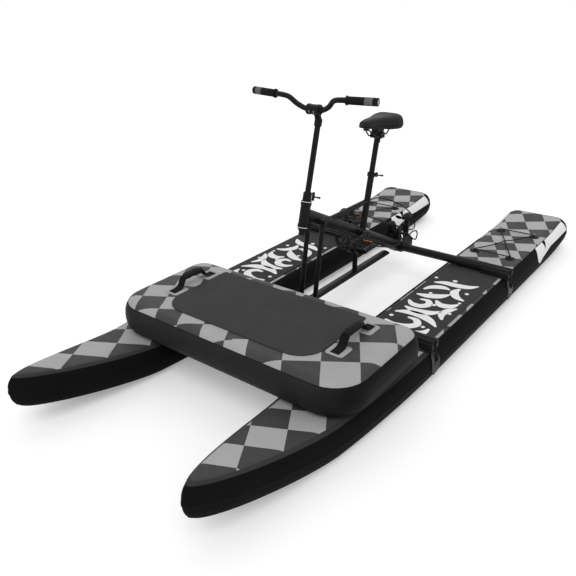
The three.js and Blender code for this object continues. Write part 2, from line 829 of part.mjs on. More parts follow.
const seatTubeTop = seatFoot.clone().addScaledVector(seatAxis, seatTubeLength);
const onSeatTubeAt = (z) => seatFoot.clone().addScaledVector(seatAxis, (z - seatFoot.z) / seatAxis.z);
const legTop = onMainBeam(legTopY).sub(v(0, 0, legTopDrop));
const strutZ = beamZ + strutRise;
const beamWay = rearPoint.clone().sub(headPoint).normalize();
const beamDown = v(0, beamWay.z, -beamWay.y);
const cleatPoint = onSeatTubeAt(beamZ + cleatRise);
const cleatY = cleatPoint.y + seatTubeDiameter / 2 + cleatLength;
const bossHalf = mainBeamWidth / 2 + legEyeGap - seatGap;
const stopPoint = headPoint.clone().lerp(rearPoint, cableStopShare).addScaledVector(beamDown, cableDrop);

function mainFrame() {
  const headTop = headLower.clone().addScaledVector(steerAxis, headTubeLength);
  const solidFrame = join(
    rod(headPoint, rearPoint, mainBeamWidth / 2, 16, mainBeamHeight / 2),
    rod(headLower, headTop, headTubeDiameter / 2, 16),
    rod(seatFoot, seatTubeTop, seatTubeDiameter / 2, 16),
    rod(onMainBeamAt(strutZ), onSeatTubeAt(strutZ), strutDiameter / 2, 16),
    rodX(-mainSleeveHalf, mainSleeveHalf, rearBeamY, beamZ, beamRadius + mainSleeveWall, 16),
    rodX(-bbShellWidth / 2, bbShellWidth / 2, bbPoint.y, bbPoint.z, bbShellDiameter / 2, 16),
    rodX(-bossHalf, bossHalf, legTop.y, legTop.z, bossRadius, 16),
    rod(cleatPoint, v(0, cleatY, cleatPoint.z), cleatRadius, 10),
    rod(
      stopPoint.clone().setX(cableX).addScaledVector(beamWay, -cableStopLength),
      stopPoint.clone().setX(cableX), cableStopRadius, 12),
    rod(
      stopPoint.clone().setX(cableX).addScaledVector(beamWay, -cableStopLength / 2),
      headPoint.clone().lerp(rearPoint, cableStopShare).addScaledVector(beamWay, -cableStopLength / 2),
      cableStopWebRadius, 8),
  );
  const boreStart = seatTubeTop.clone().addScaledVector(seatAxis, -seatBoreDepth);
  return cut(solidFrame,
    rod(
      headLower.clone().addScaledVector(steerAxis, -overrun),
      headTop.clone().addScaledVector(steerAxis, overrun), headBore / 2, 16),
    rod(
      boreStart, seatTubeTop.clone().addScaledVector(seatAxis, overrun),
      around(seatPostDiameter / 2 + runningGap), 16),
    rodX(-bbShellWidth, bbShellWidth, bbPoint.y, bbPoint.z, bbBore / 2, 16),
    rodX(-mainSleeveHalf - overrun, mainSleeveHalf + overrun, rearBeamY, beamZ, beamRadius + seatGap, 16),
    rodX(-bossHalf - overrun, bossHalf + overrun, legTop.y, legTop.z, legBoltDiameter / 2 + seatGap, 16));
}

const mainFrameGeometry = mainFrame();
addMesh('main_frame', mainFrameGeometry, 'satinBlack');

// Front legs: from an eye on the cross bolt down to a sleeve on the front beam.
const legSleeveInner = 26;
const legSleeveWidth = 26;
const legSleeveWall = 6.5;
const legEyeWidth = 22;
const boltHead = 6;
const boltHeadRadius = 9;
const legInner = mainBeamWidth / 2 + legEyeGap;

function frontLeg() {
  const x = legSpread / 2;
  const solid = join(
    rod(v(x, legTop.y, legTop.z), v(x, frontBeamY, beamZ), legDiameter / 2, 16),
    rodX(legInner, legInner + legEyeWidth, legTop.y, legTop.z, bossRadius, 16),
    rodX(legSleeveInner, legSleeveInner + legSleeveWidth, frontBeamY, beamZ, beamRadius + legSleeveWall, 16));
  return cut(solid,
    rodX(0, legSpread, legTop.y, legTop.z, legBoltDiameter / 2 + seatGap, 16),
    rodX(0, legSpread, frontBeamY, beamZ, beamRadius + seatGap, 16));
}

const legGeometry = frontLeg();
addMesh('front_leg_left', legGeometry, 'satinBlack');
addMesh('front_leg_right', mirrorX(legGeometry), 'satinBlack');

const boltHalf = legInner + legEyeWidth + seatGap;
addMesh('leg_bolt', join(
  rodX(-boltHalf - seatGap, boltHalf + seatGap, legTop.y, legTop.z, legBoltDiameter / 2, 16),
  rodX(boltHalf, boltHalf + boltHead, legTop.y, legTop.z, boltHeadRadius, 6),
  rodX(-boltHalf - boltHead, -boltHalf, legTop.y, legTop.z, boltHeadRadius, 6),
), 'silver');

// Bottom rail: from a sleeve on the front beam to the underside of the main beam.
const railSleeveHalf = 25;
const railRise = 2;
const railZ = beamZ + railRise;
const railRear = rearBeamY - beamRadius - mainSleeveWall;
const mainClear = rod(
  headPoint, rearPoint, mainBeamWidth / 2 + seatGap, 16, mainBeamHeight / 2 + seatGap);
const sleeveClear = rodX(
  -hullSpacing, hullSpacing, rearBeamY, beamZ, beamRadius + mainSleeveWall + seatGap, 16);
const railSolid = cut(join(
  rod(v(0, frontBeamY, railZ), v(0, railRear, railZ), railWidth / 2, 16, railHeight / 2),
  rodX(-railSleeveHalf, railSleeveHalf, frontBeamY, beamZ, beamRadius + legSleeveWall, 16),
), rodX(-hullSpacing, hullSpacing, frontBeamY, beamZ, beamRadius + seatGap, 16), mainClear, sleeveClear);
addMesh('bottom_rail', railSolid, 'satinBlack');

const postFootZ = railZ + railHeight / 2 - seatGap;
addMesh('rail_post', cut(
  rod(v(0, bbY, postFootZ), v(0, bbY, bbPoint.z), postDiameter / 2, 16),
  mainClear,
  rod(v(0, frontBeamY, railZ), v(0, railRear, railZ), railWidth / 2 + seatGap, 16,
    railHeight / 2 + seatGap),
  rodX(-bbShellWidth, bbShellWidth, bbPoint.y, bbPoint.z, bbShellDiameter / 2 + seatGap, 16),
), 'satinBlack');

// Steering column, in its own leaning group.
const cupRadius = 24;
const cupHeight = 12;
const skirtLength = 12;
const skirtLap = 1;
const bearingGap = 0.05;
const crownGap = 1;
const crownThickness = 8;
const crownRadius = 30;
const steererBottom = 40;
const steererTop = 150;
const clampHeight = 34;
const clampWall = 4.5;
const clampInnerGap = 0.3;

const steering = new THREE.Group();
steering.position.copy(headLower);
steering.rotation.x = -steerAngle;
model.add(steering);

const steererRadius = steererDiameter / 2;
const cupBore = around(steererRadius + bearingGap);
const skirtRadius = headBore / 2 - seatGap;

function headCup(faceZ, way) {
  const body = rodZ(
    Math.min(faceZ + way * seatGap, faceZ + way * cupHeight),
    Math.max(faceZ + way * seatGap, faceZ + way * cupHeight), cupRadius, 16);
  const skirt = rodZ(
    Math.min(faceZ - way * skirtLength, faceZ + way * skirtLap),
    Math.max(faceZ - way * skirtLength, faceZ + way * skirtLap), skirtRadius, 16);
  const bore = rodZ(faceZ - overrun * 2, faceZ + overrun * 2, cupBore, 16);
  return cut(join(body, skirt), bore);
}

addMesh('headset_cup_lower', headCup(0, -1), 'silver', steering);
addMesh('headset_cup_upper', headCup(headTubeLength, 1), 'silver', steering);

const crownTop = -cupHeight - crownGap;
const crown = plateZ(hullOutline([
  [0, 0, steererRadius + clampWall], [crownRadius, 0, clampWall * 2],
]), crownTop - crownThickness, crownTop);
const steererBore = around(steeringPostDiameter / 2 + runningGap);
addMesh('steerer', cut(
  join(rodZ(-steererBottom, steererTop, steererRadius, 16), crown),
  rodZ(-steererBottom - overrun, steererTop + overrun, steererBore, 16),
), 'satinBlack', steering);

// A clamp ring with two ears at the back, a fixed pin between them, and its lever on the pin.
const earThickness = 4;
const pinRadius = 3;
const eyeRadius = 6.5;
const pinSide = 14;
const leverReach = 48;
const leverTip = 5;
const leverSweep = 5;
const leverGap = 0.4;

function clampRing(inner, outer, z0, z1) {
  const pinBack = outer + eyeRadius + leverGap;
  const ring = rodZ(z0, z1, outer, 16);
  const earAt = (a, b) => plateZ(hullOutline([
    [pinSide, pinBack, eyeRadius], [0, outer - eyeRadius, eyeRadius],
  ]), a, b);
  const solid = join(
    ring, earAt(z0, z0 + earThickness), earAt(z1 - earThickness, z1),
    rodZ(z0, z1, pinRadius, 16).translate(pinSide, pinBack, 0));
  return cut(solid, rodZ(z0 - overrun, z1 + overrun, inner, 16));
}

function clampLever(outer, z0, z1) {
  const pinBack = outer + eyeRadius + leverGap;
  const lever = plateZ(hullOutline([
    [pinSide, pinBack, eyeRadius], [pinSide + leverReach, pinBack - leverSweep, leverTip],
  ]), z0 + earThickness + leverGap, z1 - earThickness - leverGap);
  const hole = rodZ(z0, z1, around(pinRadius + bearingGap, 16), 16).translate(pinSide, pinBack, 0);
  return cut(lever, hole);
}

const clampOuter = steererRadius + clampWall;
const clampZ0 = headTubeLength + cupHeight + crownGap;
const clampZ1 = clampZ0 + clampHeight;
addMesh('post_clamp', clampRing(
  around(steererRadius + clampInnerGap), clampOuter, clampZ0, clampZ1,
), 'satinBlack', steering);
addMesh('post_clamp_lever', clampLever(clampOuter, clampZ0, clampZ1), 'silver', steering);

const postRadius = steeringPostDiameter / 2;
addMesh('steering_post', rodZ(steeringPostFoot, steeringPostTop, postRadius, 16), 'satinBlack', steering);

// Stem: a socket over the post and an arm to the bar clamp.
const stemSocketDepth = 28;
const stemSocketWall = 4;
const stemCap = 6;
const barClampRadius = 22;
const barClampHalf = 32;
const barSleeveRadius = 12.7;
const barSleeveHalf = 38;
const stemArmHalf = 15;
const stemNeckRadius = 15.4;
const stemPointY = -stemReach;
const stemPointZ = steeringPostTop + stemRise;

const socketRadius = postRadius + stemSocketWall;
const stemTop = steeringPostTop + seatGap + stemCap;
const stemArm = plateX(hullOutline([
  [stemPointY, stemPointZ, stemNeckRadius],
  [0, (steeringPostTop + stemTop) / 2 - stemSocketDepth / 2, socketRadius],
]), -stemArmHalf, stemArmHalf);
addMesh('stem', cut(
  join(
    rodZ(steeringPostTop - stemSocketDepth, stemTop, socketRadius, 16),
    stemArm,
    rodX(-barClampHalf, barClampHalf, stemPointY, stemPointZ, barClampRadius, 16),
  ),
  rodZ(steeringPostTop - stemSocketDepth * 2, steeringPostTop + seatGap, postRadius + seatGap, 16),
  rodX(-barSpan, barSpan, stemPointY, stemPointZ, barSleeveRadius + seatGap, 16),
), 'satinBlack', steering);

// Handlebar: its offsets from the bar clamp are given upright, so its group undoes the lean.
const bar = new THREE.Group();
bar.position.set(0, stemPointY, stemPointZ);
bar.rotation.x = steerAngle;
steering.add(bar);

const barRadius = barDiameter / 2;
const gripStart = barSpan / 2 - gripLength;
const barXShares = [0.13, 0.26, 0.37, 0.48, 0.56];
const barBackShares = [0, 0.55, 1.35, 1.72, 1.72];
const barUpShares = [0, 0.32, 0.82, 0.95, 0.97];
const barEndBack = 13;
const barEnd = v(barSpan / 2, -barEndBack, barRise);
const barBends = barXShares.map((share, i) => v(
  (share * barSpan) / 2, -barSweep * barBackShares[i], barRise * barUpShares[i]));
const barCurve = new THREE.CatmullRomCurve3([v(0, 0, 0), ...barBends], false, 'centripetal');
const barHalf = [...barCurve.getSpacedPoints(13), barEnd];
const barRoute = [
  ...barHalf.slice(1).reverse().map((point) => v(-point.x, point.y, point.z)), ...barHalf];
addMesh('handlebar', join(
  routeTube(barRoute, barRadius, 10),
  rodX(-barSleeveHalf, barSleeveHalf, 0, 0, barSleeveRadius, 16),
), 'satinBlack', bar);

const gripWall = 4.5;
const gripCollar = 4;
const gripCollarRadius = 19;
const gripRadius = gripDiameter / 2;
const barStraight = barHalf.at(-2);
const gripWay = barEnd.clone().sub(barStraight).normalize();
const gripFrom = barStraight.clone().addScaledVector(gripWay, (gripStart - barStraight.x) / gripWay.x);
const gripTo = barEnd.clone().addScaledVector(gripWay, gripWall + seatGap);
const gripGeometry = cut(
  join(
    rod(gripFrom, gripTo, gripRadius, 16),
    rod(gripFrom, gripFrom.clone().addScaledVector(gripWay, gripCollar), gripCollarRadius, 16)),
  rod(gripFrom.clone().addScaledVector(gripWay, -overrun), barEnd.clone().addScaledVector(gripWay, seatGap),
    around(barRadius + seatGap, 12), 12));
addMesh('grip_left', gripGeometry, 'rubber', bar);
addMesh('grip_right', mirrorX(gripGeometry), 'rubber', bar);

// Seat post, clamp, rails and saddle. The seat group leans with the seat tube.
const seatCollarHeight = 20;
const seatCollarDrop = 1;
const seatCollarWall = 4;

const seat = new THREE.Group();
seat.position.copy(seatFoot);
seat.rotation.x = -seatAngle;
model.add(seat);

const seatTubeRadius = seatTubeDiameter / 2;
const collarZ1 = seatTubeLength - seatCollarDrop;
const collarZ0 = collarZ1 - seatCollarHeight;
addMesh('seat_collar', clampRing(
  seatTubeRadius + seatGap, seatTubeRadius + seatGap + seatCollarWall, collarZ0, collarZ1,
), 'satinBlack', seat);
addMesh('seat_collar_lever', clampLever(
  seatTubeRadius + seatGap + seatCollarWall, collarZ0, collarZ1,
), 'silver', seat);

// Saddle: stations from the nose back, given upright from the top of the seat post.
const saddleNose = 146;
const saddleBase = 36;
const railWire = 3.5;
const railHalf = 22;
const railNoseHalf = 9;
const railNoseRise = 20;
const railDrop = 8;
const railEndShare = 0.72;
const railBendShare = 0.55;
const railBend = 8.1;
const headHalf = 30;
const headDepth = 44;
const headHeight = 26;
const socketWidth = 14;
const noseSocketDepth = 13;
const rearSocketDepth = 17;
const socketRise = 13;
const noseSocketDrop = 10.5;
const rearSocketDrop = 7;

const saddleMount = new THREE.Group();
saddleMount.position.set(0, 0, seatPostTop);
saddleMount.rotation.x = seatAngle;
seat.add(saddleMount);

const stationShares = [0, 0.04, 0.14, 0.36, 0.52, 0.66, 0.82, 0.94, 1];
const widthShares = [0.1, 0.2, 0.24, 0.34, 0.56, 0.82, 1, 0.92, 0.5];
const topShares = [0.58, 0.76, 0.88, 0.93, 0.93, 0.93, 0.98, 1, 0.86];
const lowShares = [0.44, 0.38, 0.33, 0.3, 0.2, 0.1, -0.03, -0.06, 0.26];
const ringShares = [
  [1, 0.3], [0.97, 0.62], [0.82, 0.86], [0.5, 0.97], [0, 1], [-0.5, 0.97], [-0.82, 0.86],
  [-0.97, 0.62], [-1, 0.3], [-0.9, 0.02], [-0.5, 0], [0, 0.02], [0.5, 0], [0.9, 0.02],
];
const saddleBack = saddleLength - saddleNose;

function saddleBody() {
  const rings = stationShares.map((share, i) => ringShares.map(([across, up]) => {
    const low = saddleBase + saddleHeight * lowShares[i];
    const top = saddleBase + saddleHeight * topShares[i];
    return v(
      (across * widthShares[i] * saddleWidth) / 2,
      share * saddleLength - saddleNose,
      low + (top - low) * up);
  }));
  return loft(rings);
}

const railZLow = railDrop;
const railFrontY = -saddleNose * railEndShare;
const railBackY = saddleBack * railEndShare;
const saddleRailRoute = rounded([
  v(-railHalf, railBackY, saddleBase + railWire),
  v(-railHalf, railBackY * railBendShare, railZLow),
  v(-railHalf, -headDepth, railZLow),
  v(-railNoseHalf, railFrontY, saddleBase + railNoseRise - railWire),
  v(railNoseHalf, railFrontY, saddleBase + railNoseRise - railWire),
  v(railHalf, -headDepth, railZLow),
  v(railHalf, railBackY * railBendShare, railZLow),
  v(railHalf, railBackY, saddleBase + railWire),
], railBend, bendSteps);
const railClear = toSolid(routeTube(saddleRailRoute, railWire + seatGap, 8));
addMesh('saddle_rails', routeTube(saddleRailRoute, railWire, 8), 'silver', saddleMount);

const noseSocket = block(
  -socketWidth, socketWidth, railFrontY - noseSocketDepth / 2, railFrontY + noseSocketDepth / 2,
  saddleBase + railNoseRise - noseSocketDrop, saddleBase + railNoseRise + socketRise);
const rearSockets = [-1, 1].map((side) => block(
  side * railHalf - socketWidth / 2, side * railHalf + socketWidth / 2,
  railBackY - rearSocketDepth / 2, railBackY + rearSocketDepth / 2,
  saddleBase - rearSocketDrop, saddleBase + socketRise));
const railEndClear = [-1, 1].map((side) => rod(
  v(side * railHalf, railBackY, saddleBase), v(side * railHalf, railBackY, saddleBase + railWire * 2),
  railWire + seatGap, 8));
const saddleSolid = toSolid(join(saddleBody(), noseSocket, ...rearSockets))
  .subtract(railClear).subtract(toSolid(railEndClear[0])).subtract(toSolid(railEndClear[1]));
addMesh('saddle', toGeometry(saddleSolid), 'leather', saddleMount);

const seatHead = block(-headHalf, headHalf, -headDepth / 2, headDepth / 2, railDrop - headHeight / 2,
  railDrop + headHeight / 2);
seatHead.rotateX(seatAngle).translate(0, 0, seatPostTop);
const railClearUp = toSolid(toGeometry(railClear).rotateX(seatAngle).translate(0, 0, seatPostTop));
const seatPostSolid = toSolid(join(
  rodZ(seatPostBottomHeight, seatPostTop, seatPostDiameter / 2, 16), seatHead,
)).subtract(railClearUp);
addMesh('seat_post', toGeometry(seatPostSolid), 'satinBlack', seat);

// Crank axle, cups, cranks, chainring and pedals, all about the crank shell's centre.
const cupFlange = 3;
const cupSkirt = 10;
const axleCollarRadius = 11;
const collarGap = 0.7;
const crankInner = 62;
const crankBoss = 16;
const crankEye = 13;
const axleEnd = 75;
const spindleRadius = 6;
const spindleEnd = 176;
const chainringThickness = 3;
const chainringHub = 15;
const chainringSpiders = 5;
const spiderWidth = 18;
const toothDepth = 7.6;
const chainringRim = 13;

const crankCentre = new THREE.Group();
crankCentre.position.copy(bbPoint);
model.add(crankCentre);

const shellHalf = bbShellWidth / 2;
const axleRadius = axleDiameter / 2;
const cupOut = shellHalf + seatGap + cupFlange;

function crankCup() {
  const flange = rodX(shellHalf + seatGap, cupOut, 0, 0, bbShellDiameter / 2, 16);
  const skirt = rodX(shellHalf - cupSkirt, shellHalf + cupFlange, 0, 0, bbBore / 2 - seatGap, 16);
  return cut(join(flange, skirt), rodX(0, shellHalf * 2, 0, 0, around(axleRadius + bearingGap), 16));
}

const crankCupGeometry = crankCup();
addMesh('bb_cup_left', crankCupGeometry, 'silver', crankCentre);
addMesh('bb_cup_right', mirrorX(crankCupGeometry), 'silver', crankCentre);

// A toothed wheel outline in Y and Z.
function wheelOutline(teeth, tip, root) {
  const points = [];
  for (let i = 0; i < teeth * 2; i += 1) {
    const turn = (Math.PI * i) / teeth;
    const radius = i % 2 ? root : tip;
    points.push([radius * Math.cos(turn), radius * Math.sin(turn)]);
  }
  return polygon(points);
}

const pitchRadius = (teeth) => chainPitch / (2 * Math.sin(Math.PI / teeth));
const tipRadius = (teeth) => pitchRadius(teeth) + toothDepth / 2;
const ringTip = tipRadius(chainringTeeth);
const sprocketTip = tipRadius(sprocketTeeth);
const hubOuter = crankInner - collarGap / 2;

addMesh('crank_axle', join(
  rodX(-axleEnd, axleEnd, 0, 0, axleRadius, 16),
  rodX(cupOut + collarGap, crankInner - collarGap, 0, 0, axleCollarRadius, 16),
  rodX(-chainLine + chainringThickness / 2 + seatGap, -cupOut - collarGap, 0, 0, axleCollarRadius, 16),
), 'silver', crankCentre);

function chainring() {
  const half = chainringThickness / 2;
  const rimInner = ringTip - toothDepth - chainringRim;
  const disc = plateX(wheelOutline(chainringTeeth, ringTip, ringTip - toothDepth),
    -chainLine - half, -chainLine + half);
  const window = rodX(-chainLine - overrun, -chainLine + overrun, 0, 0, rimInner, 24);
  const arms = [];
  for (let i = 0; i < chainringSpiders; i += 1) {
    const arm = block(-chainLine - half, -chainLine + half, -spiderWidth / 2, spiderWidth / 2,
      0, rimInner + chainringRim / 2);
    arms.push(arm.rotateX((2 * Math.PI * i) / chainringSpiders));
  }
  const hub = rodX(-hubOuter, -chainLine + half, 0, 0, chainringHub, 16);
  return cut(join(cut(disc, window), ...arms, hub),
    rodX(-crankInner, 0, 0, 0, axleRadius + seatGap, 16));
}

addMesh('chainring', chainring(), 'satinBlack', crankCentre);

// Arms lie fore and aft; the spindle for the pedal stands out from the arm's end.
const toothSideLean = -3;
const crankTurn = THREE.MathUtils.degToRad(toothSideLean);

function crankArm() {
  const arm = plateX(hullOutline([[0, 0, crankBoss], [-crankLength, 0, crankEye]]),
    crankInner, crankInner + crankThickness);
  const spindle = rodX(crankInner + crankThickness / 2, spindleEnd, -crankLength, 0, spindleRadius, 16);
  return cut(join(arm, spindle), rodX(0, spindleEnd, 0, 0, axleRadius + seatGap, 16));
}

const armGeometry = crankArm().rotateX(crankTurn);
const pedalPoint = v(0, -crankLength, 0).applyAxisAngle(v(1, 0, 0), crankTurn);
addMesh('crank_left', armGeometry, 'satinBlack', crankCentre);
addMesh('crank_right', mirrorX(armGeometry.clone().rotateX(Math.PI)), 'satinBlack', crankCentre);

// Pedal: a barrel, two cross plates and side bars, with a toe cage bent up from the front.
const pedalInner = 90;
const pedalWidth = 92;
const pedalDepth = 78;
const pedalHeight = 22;
const pedalBar = 9;
const barrelRadius = 11;
const cageWidth = 14;
const cageThickness = 2.5;
const cageSetIn = 18;
const cageReach = 46;
const cageRise = 78;
const strapBand = 14;
const strapThickness = 3;
const pedalTilt = 8;
const strapInShares = [0.6];
const strapUpShares = [0.5, 0.86];
const cageForeShares = [-0.02, -0.55, -0.95, -0.86, -0.4, 0.12];
const cageUpShares = [0, 0.1, 0.42, 0.78, 0.98, 1];

function pedalBody() {
  const outer = pedalInner + pedalWidth;
  const half = pedalHeight / 2;
  const frame = cut(
    block(pedalInner, outer, -pedalDepth / 2, pedalDepth / 2, -half, half),
    block(pedalInner + pedalBar, outer - pedalBar, -pedalDepth / 2 + pedalBar, pedalDepth / 2 - pedalBar,
      -pedalHeight, pedalHeight));
  const barrel = rodX(pedalInner - pedalBar / 2, outer, 0, 0, barrelRadius, 16);
  const prong = bandShape(cageForeShares.map((share, i) => [
    -pedalDepth / 2 + cageThickness + share * cageReach, -half + cageUpShares[i] * cageRise,
  ]), cageThickness);
  const prongs = [pedalInner + cageSetIn, outer - cageSetIn - cageWidth].map(
    (x) => plateX(prong, x, x + cageWidth));
  const bridgeY = -pedalDepth / 2 + cageThickness + cageForeShares.at(-1) * cageReach;
  const strapIn = [
    [pedalInner - strapThickness / 2, 0],
    [pedalInner - strapThickness / 2, cageRise * strapUpShares[0]],
    [pedalInner + cageSetIn * strapInShares[0], cageRise * strapUpShares[1] - half],
    [pedalInner + cageSetIn, cageRise - half],
    [outer - cageSetIn, cageRise - half],
    [outer - cageSetIn * strapInShares[0], cageRise * strapUpShares[1] - half],
    [outer + strapThickness / 2, cageRise * strapUpShares[0]],
    [outer + strapThickness / 2, 0],
  ];
  const strap = plateY(bandShape(strapIn, strapThickness), bridgeY - strapBand, bridgeY);
  const bore = rodX(pedalInner - pedalWidth, spindleEnd + collarGap, 0, 0, around(spindleRadius + bearingGap), 16);
  return cut(join(frame, barrel, ...prongs, strap), bore);
}

const pedalGeometry = pedalBody().rotateX(THREE.MathUtils.degToRad(pedalTilt));
addMesh('pedal_left', pedalGeometry, 'plastic', crankCentre).position.copy(pedalPoint);
addMesh('pedal_right', mirrorX(pedalGeometry), 'plastic', crankCentre).position.copy(pedalPoint).negate();

// Chain: one closed band about both wheels, on the rider's right.
const chainThickness = 6;
const chainWidth = 7;
const chainGap = 0.5;

// The outline about two wheels, each [y, z, radius].
function beltShape(wheels, gap, thickness, sides) {
  const grow = (more) => wheels.map(([a, b, r]) => [a, b, around(r + more, sides)]);
  const shape = hullOutline(grow(gap + thickness), sides);
  shape.holes.push(new THREE.Path(hullOutline(grow(gap), sides).getPoints().reverse()));
  return shape;
}

addMesh('chain', plateX(beltShape([
  [bbPoint.y, bbPoint.z, ringTip], [jackPoint.y, jackPoint.z, sprocketTip],
], chainGap, chainThickness, 24), -chainLine - chainWidth / 2, -chainLine + chainWidth / 2), 'silver');

// Jackshaft: rear sprocket, shaft and belt pulley in one.
const plateInner = 30;
const plateThickness = 6;
const plateOuter = plateInner + plateThickness;
const pulleyRadius = 18;
const pulleyInner = 19;
const pulleyWidth = 8;
const shaftCollar = 4;
const shaftCollarRadius = 11;
const sprocketHub = 12;
const guardGap = 3;
const guardThickness = 6;
const guardInner = chainLine + chainWidth / 2 + guardGap * 2;
const guardRadius = 58;
const plateGap = 0.6;

const jackshaft = new THREE.Group();
jackshaft.position.copy(jackPoint);
model.add(jackshaft);

const jackRadius = jackshaftDiameter / 2;
addMesh('rear_sprocket', join(
  rodX(-guardInner + guardGap, plateOuter + plateGap + shaftCollar, 0, 0, jackRadius, 16),
  rodX(plateOuter + plateGap, plateOuter + plateGap + shaftCollar, 0, 0, shaftCollarRadius, 16),
  rodX(-chainLine, -plateOuter - plateGap, 0, 0, sprocketHub, 16),
  plateX(wheelOutline(sprocketTeeth, sprocketTip, sprocketTip - toothDepth),
    -chainLine - chainringThickness / 2, -chainLine + chainringThickness / 2),
  rodX(-pulleyInner - pulleyWidth, -pulleyInner, 0, 0, pulleyRadius, 16),
), 'silver', jackshaft);

addMesh('drive_belt', plateX(beltShape([
  [jackPoint.y, jackPoint.z, pulleyRadius], [pivotPoint.y, pivotPoint.z, pulleyRadius],
], seatGap, guardGap, 16), -pulleyInner - pulleyWidth + seatGap, -pulleyInner - seatGap), 'rubber');

// Drive bracket: two plates clamped on the rear beam, a tie bar, and the round chain cover.
const clampPlateRadius = 30;
const shaftBossRadius = 14;
const tieBarRadius = 6;
const tieBarY = 41;
const tieBarDrop = 14.4;
const lugY = 47;
const lugRise = 16;
const lugRadius = 8;
const lugPin = 5;
const stopBossY = 9;
const stopBossRise = 46;
const stopBossRadius = 8;
const stopBossLength = 2;

function driveBracket() {
  const outline = [
    [rearBeamY, beamZ, clampPlateRadius],
    [jackPoint.y, jackPoint.z, shaftBossRadius],
    [pivotPoint.y, pivotPoint.z, shaftBossRadius],
  ];
  const lug = [jackPoint.y + lugY, jackPoint.z + lugRise, lugRadius];
  const stop = [pivotPoint.y + stopBossY, pivotPoint.z + stopBossRise, stopBossRadius];
  const solid = join(
    plateX(hullOutline([...outline, lug]), -plateOuter, -plateInner),
    plateX(hullOutline([...outline, stop]), plateInner, plateOuter),
    rodX(-plateOuter, plateOuter, rearBeamY + tieBarY, beamZ - tieBarDrop, tieBarRadius, 16),
    rodX(-guardInner - guardThickness / 2, -plateInner, lug[0], lug[1], lugPin, 16),
    rodX(-guardInner - guardThickness, -guardInner, jackPoint.y, jackPoint.z, guardRadius, 16),
    rodX(plateInner, plateOuter + stopBossLength, stop[0], stop[1], stopBossRadius, 16));
  const beamBore = rodX(
    -guardInner - overrun, plateOuter + overrun, rearBeamY, beamZ, beamRadius + seatGap, 16);
  const bores = [
    [jackPoint.y, jackPoint.z, around(jackRadius + bearingGap)],
    [pivotPoint.y, pivotPoint.z, around(pivotShaftDiameter / 2 + bearingGap)],
  ];
  return cut(solid, beamBore, ...bores.map(([y, z, radius]) => rodX(
    -plateOuter - guardGap, plateOuter + guardGap, y, z, radius, 16)));
}

addMesh('drive_bracket', driveBracket(), 'plastic');

// Pivot shaft with its belt pulley, and the leg that tilts about it. The leg is drawn raised.
const hubHalf = 17;
const hubRadius = 17;
const legTopGap = 40;
const neckRadius = 10;
const neckDepth = 35;
const neckCollar = 14;
const neckCollarHeight = 5;
const podRadius = 19;
const podFront = 28;
const podRear = 46;
const podNeck = 0.5;
const podWebRadius = 12;
const podFrontShares = [-1, -1, -0.4];
const podRearShares = [0.2, 0.72, 0.95, 1];
const podRadiusShares = [1, 0.72, 0.3, 0];
const ropeLugSide = 20;
const ropeLugAhead = 13;
const ropeLugRise = 106;
const ropeLugRadius = 5;

const pivot = new THREE.Group();
pivot.position.copy(pivotPoint);
model.add(pivot);

const pivotRadius = pivotShaftDiameter / 2;
const shaftEnd = plateOuter + plateGap + shaftCollar;
addMesh('pivot_shaft', join(
  rodX(-shaftEnd, shaftEnd, 0, 0, pivotRadius, 16),
  rodX(-shaftEnd, -plateOuter - plateGap, 0, 0, shaftCollarRadius, 16),
  rodX(plateOuter + plateGap, shaftEnd, 0, 0, shaftCollarRadius, 16),
  rodX(-pulleyInner - pulleyWidth, -pulleyInner, 0, 0, pulleyRadius, 16),
), 'silver', pivot);

const legHeight = driveLegReach - legTopGap;

function driveLeg() {
  const shape = new THREE.Shape();
  shape.absellipse(0, 0, legBreadth / 2, legChord / 2, 0, 2 * Math.PI, false, 0);
  const blade = plateZ(shape, 0, legHeight, 8);
  const hub = rodX(-hubHalf, hubHalf, 0, 0, hubRadius, 16);
  const lug = rodX(0, ropeLugSide, -ropeLugAhead, ropeLugRise, ropeLugRadius, 12);
  const socket = rodZ(legHeight - neckDepth - seatGap, legHeight + overrun, around(neckRadius + bearingGap), 16);
  return cut(join(blade, hub, lug),
    rodX(-hubHalf - overrun, hubHalf + overrun, 0, 0, around(pivotRadius + bearingGap), 16), socket);
}

addMesh('drive_leg', driveLeg(), 'plastic', pivot);

// Lower unit: a pod across the leg's end on a steering neck, with the propeller on its front end.
const propShaftRadius = 5;
const propShaftDepth = 36;
const propHubRadius = 11;
const propHubLength = 17;
const propGap = 0.6;
const bladeChord = 27;
const bladeThickness = 3;
const bladePitch = 24;
const bladeRoot = 6;

function lowerUnit() {
  const frontRadii = [0, propHubRadius + seatGap, podRadius];
  const profile = [
    ...podFrontShares.map((share, i) => new THREE.Vector2(frontRadii[i], share * podFront)),
    ...podRearShares.map((share, i) => new THREE.Vector2(podRadius * podRadiusShares[i], share * podRear)),
  ];
  const pod = new THREE.LatheGeometry(profile, 16).translate(0, 0, driveLegReach);
  const neck = rodZ(legHeight - neckDepth, driveLegReach, neckRadius, 16);
  const collar = rodZ(legHeight + podNeck, legHeight + podNeck + neckCollarHeight, neckCollar, 16);
  const web = rodZ(legHeight + podNeck, driveLegReach, podWebRadius, 16);
  const bore = rod(
    v(0, -podFront * 2, driveLegReach), v(0, propShaftDepth - podFront + propGap, driveLegReach),
    around(propShaftRadius + bearingGap), 16);
  return cut(join(pod, neck, collar, web), bore);
}

addMesh('lower_unit', lowerUnit(), 'plastic', pivot);

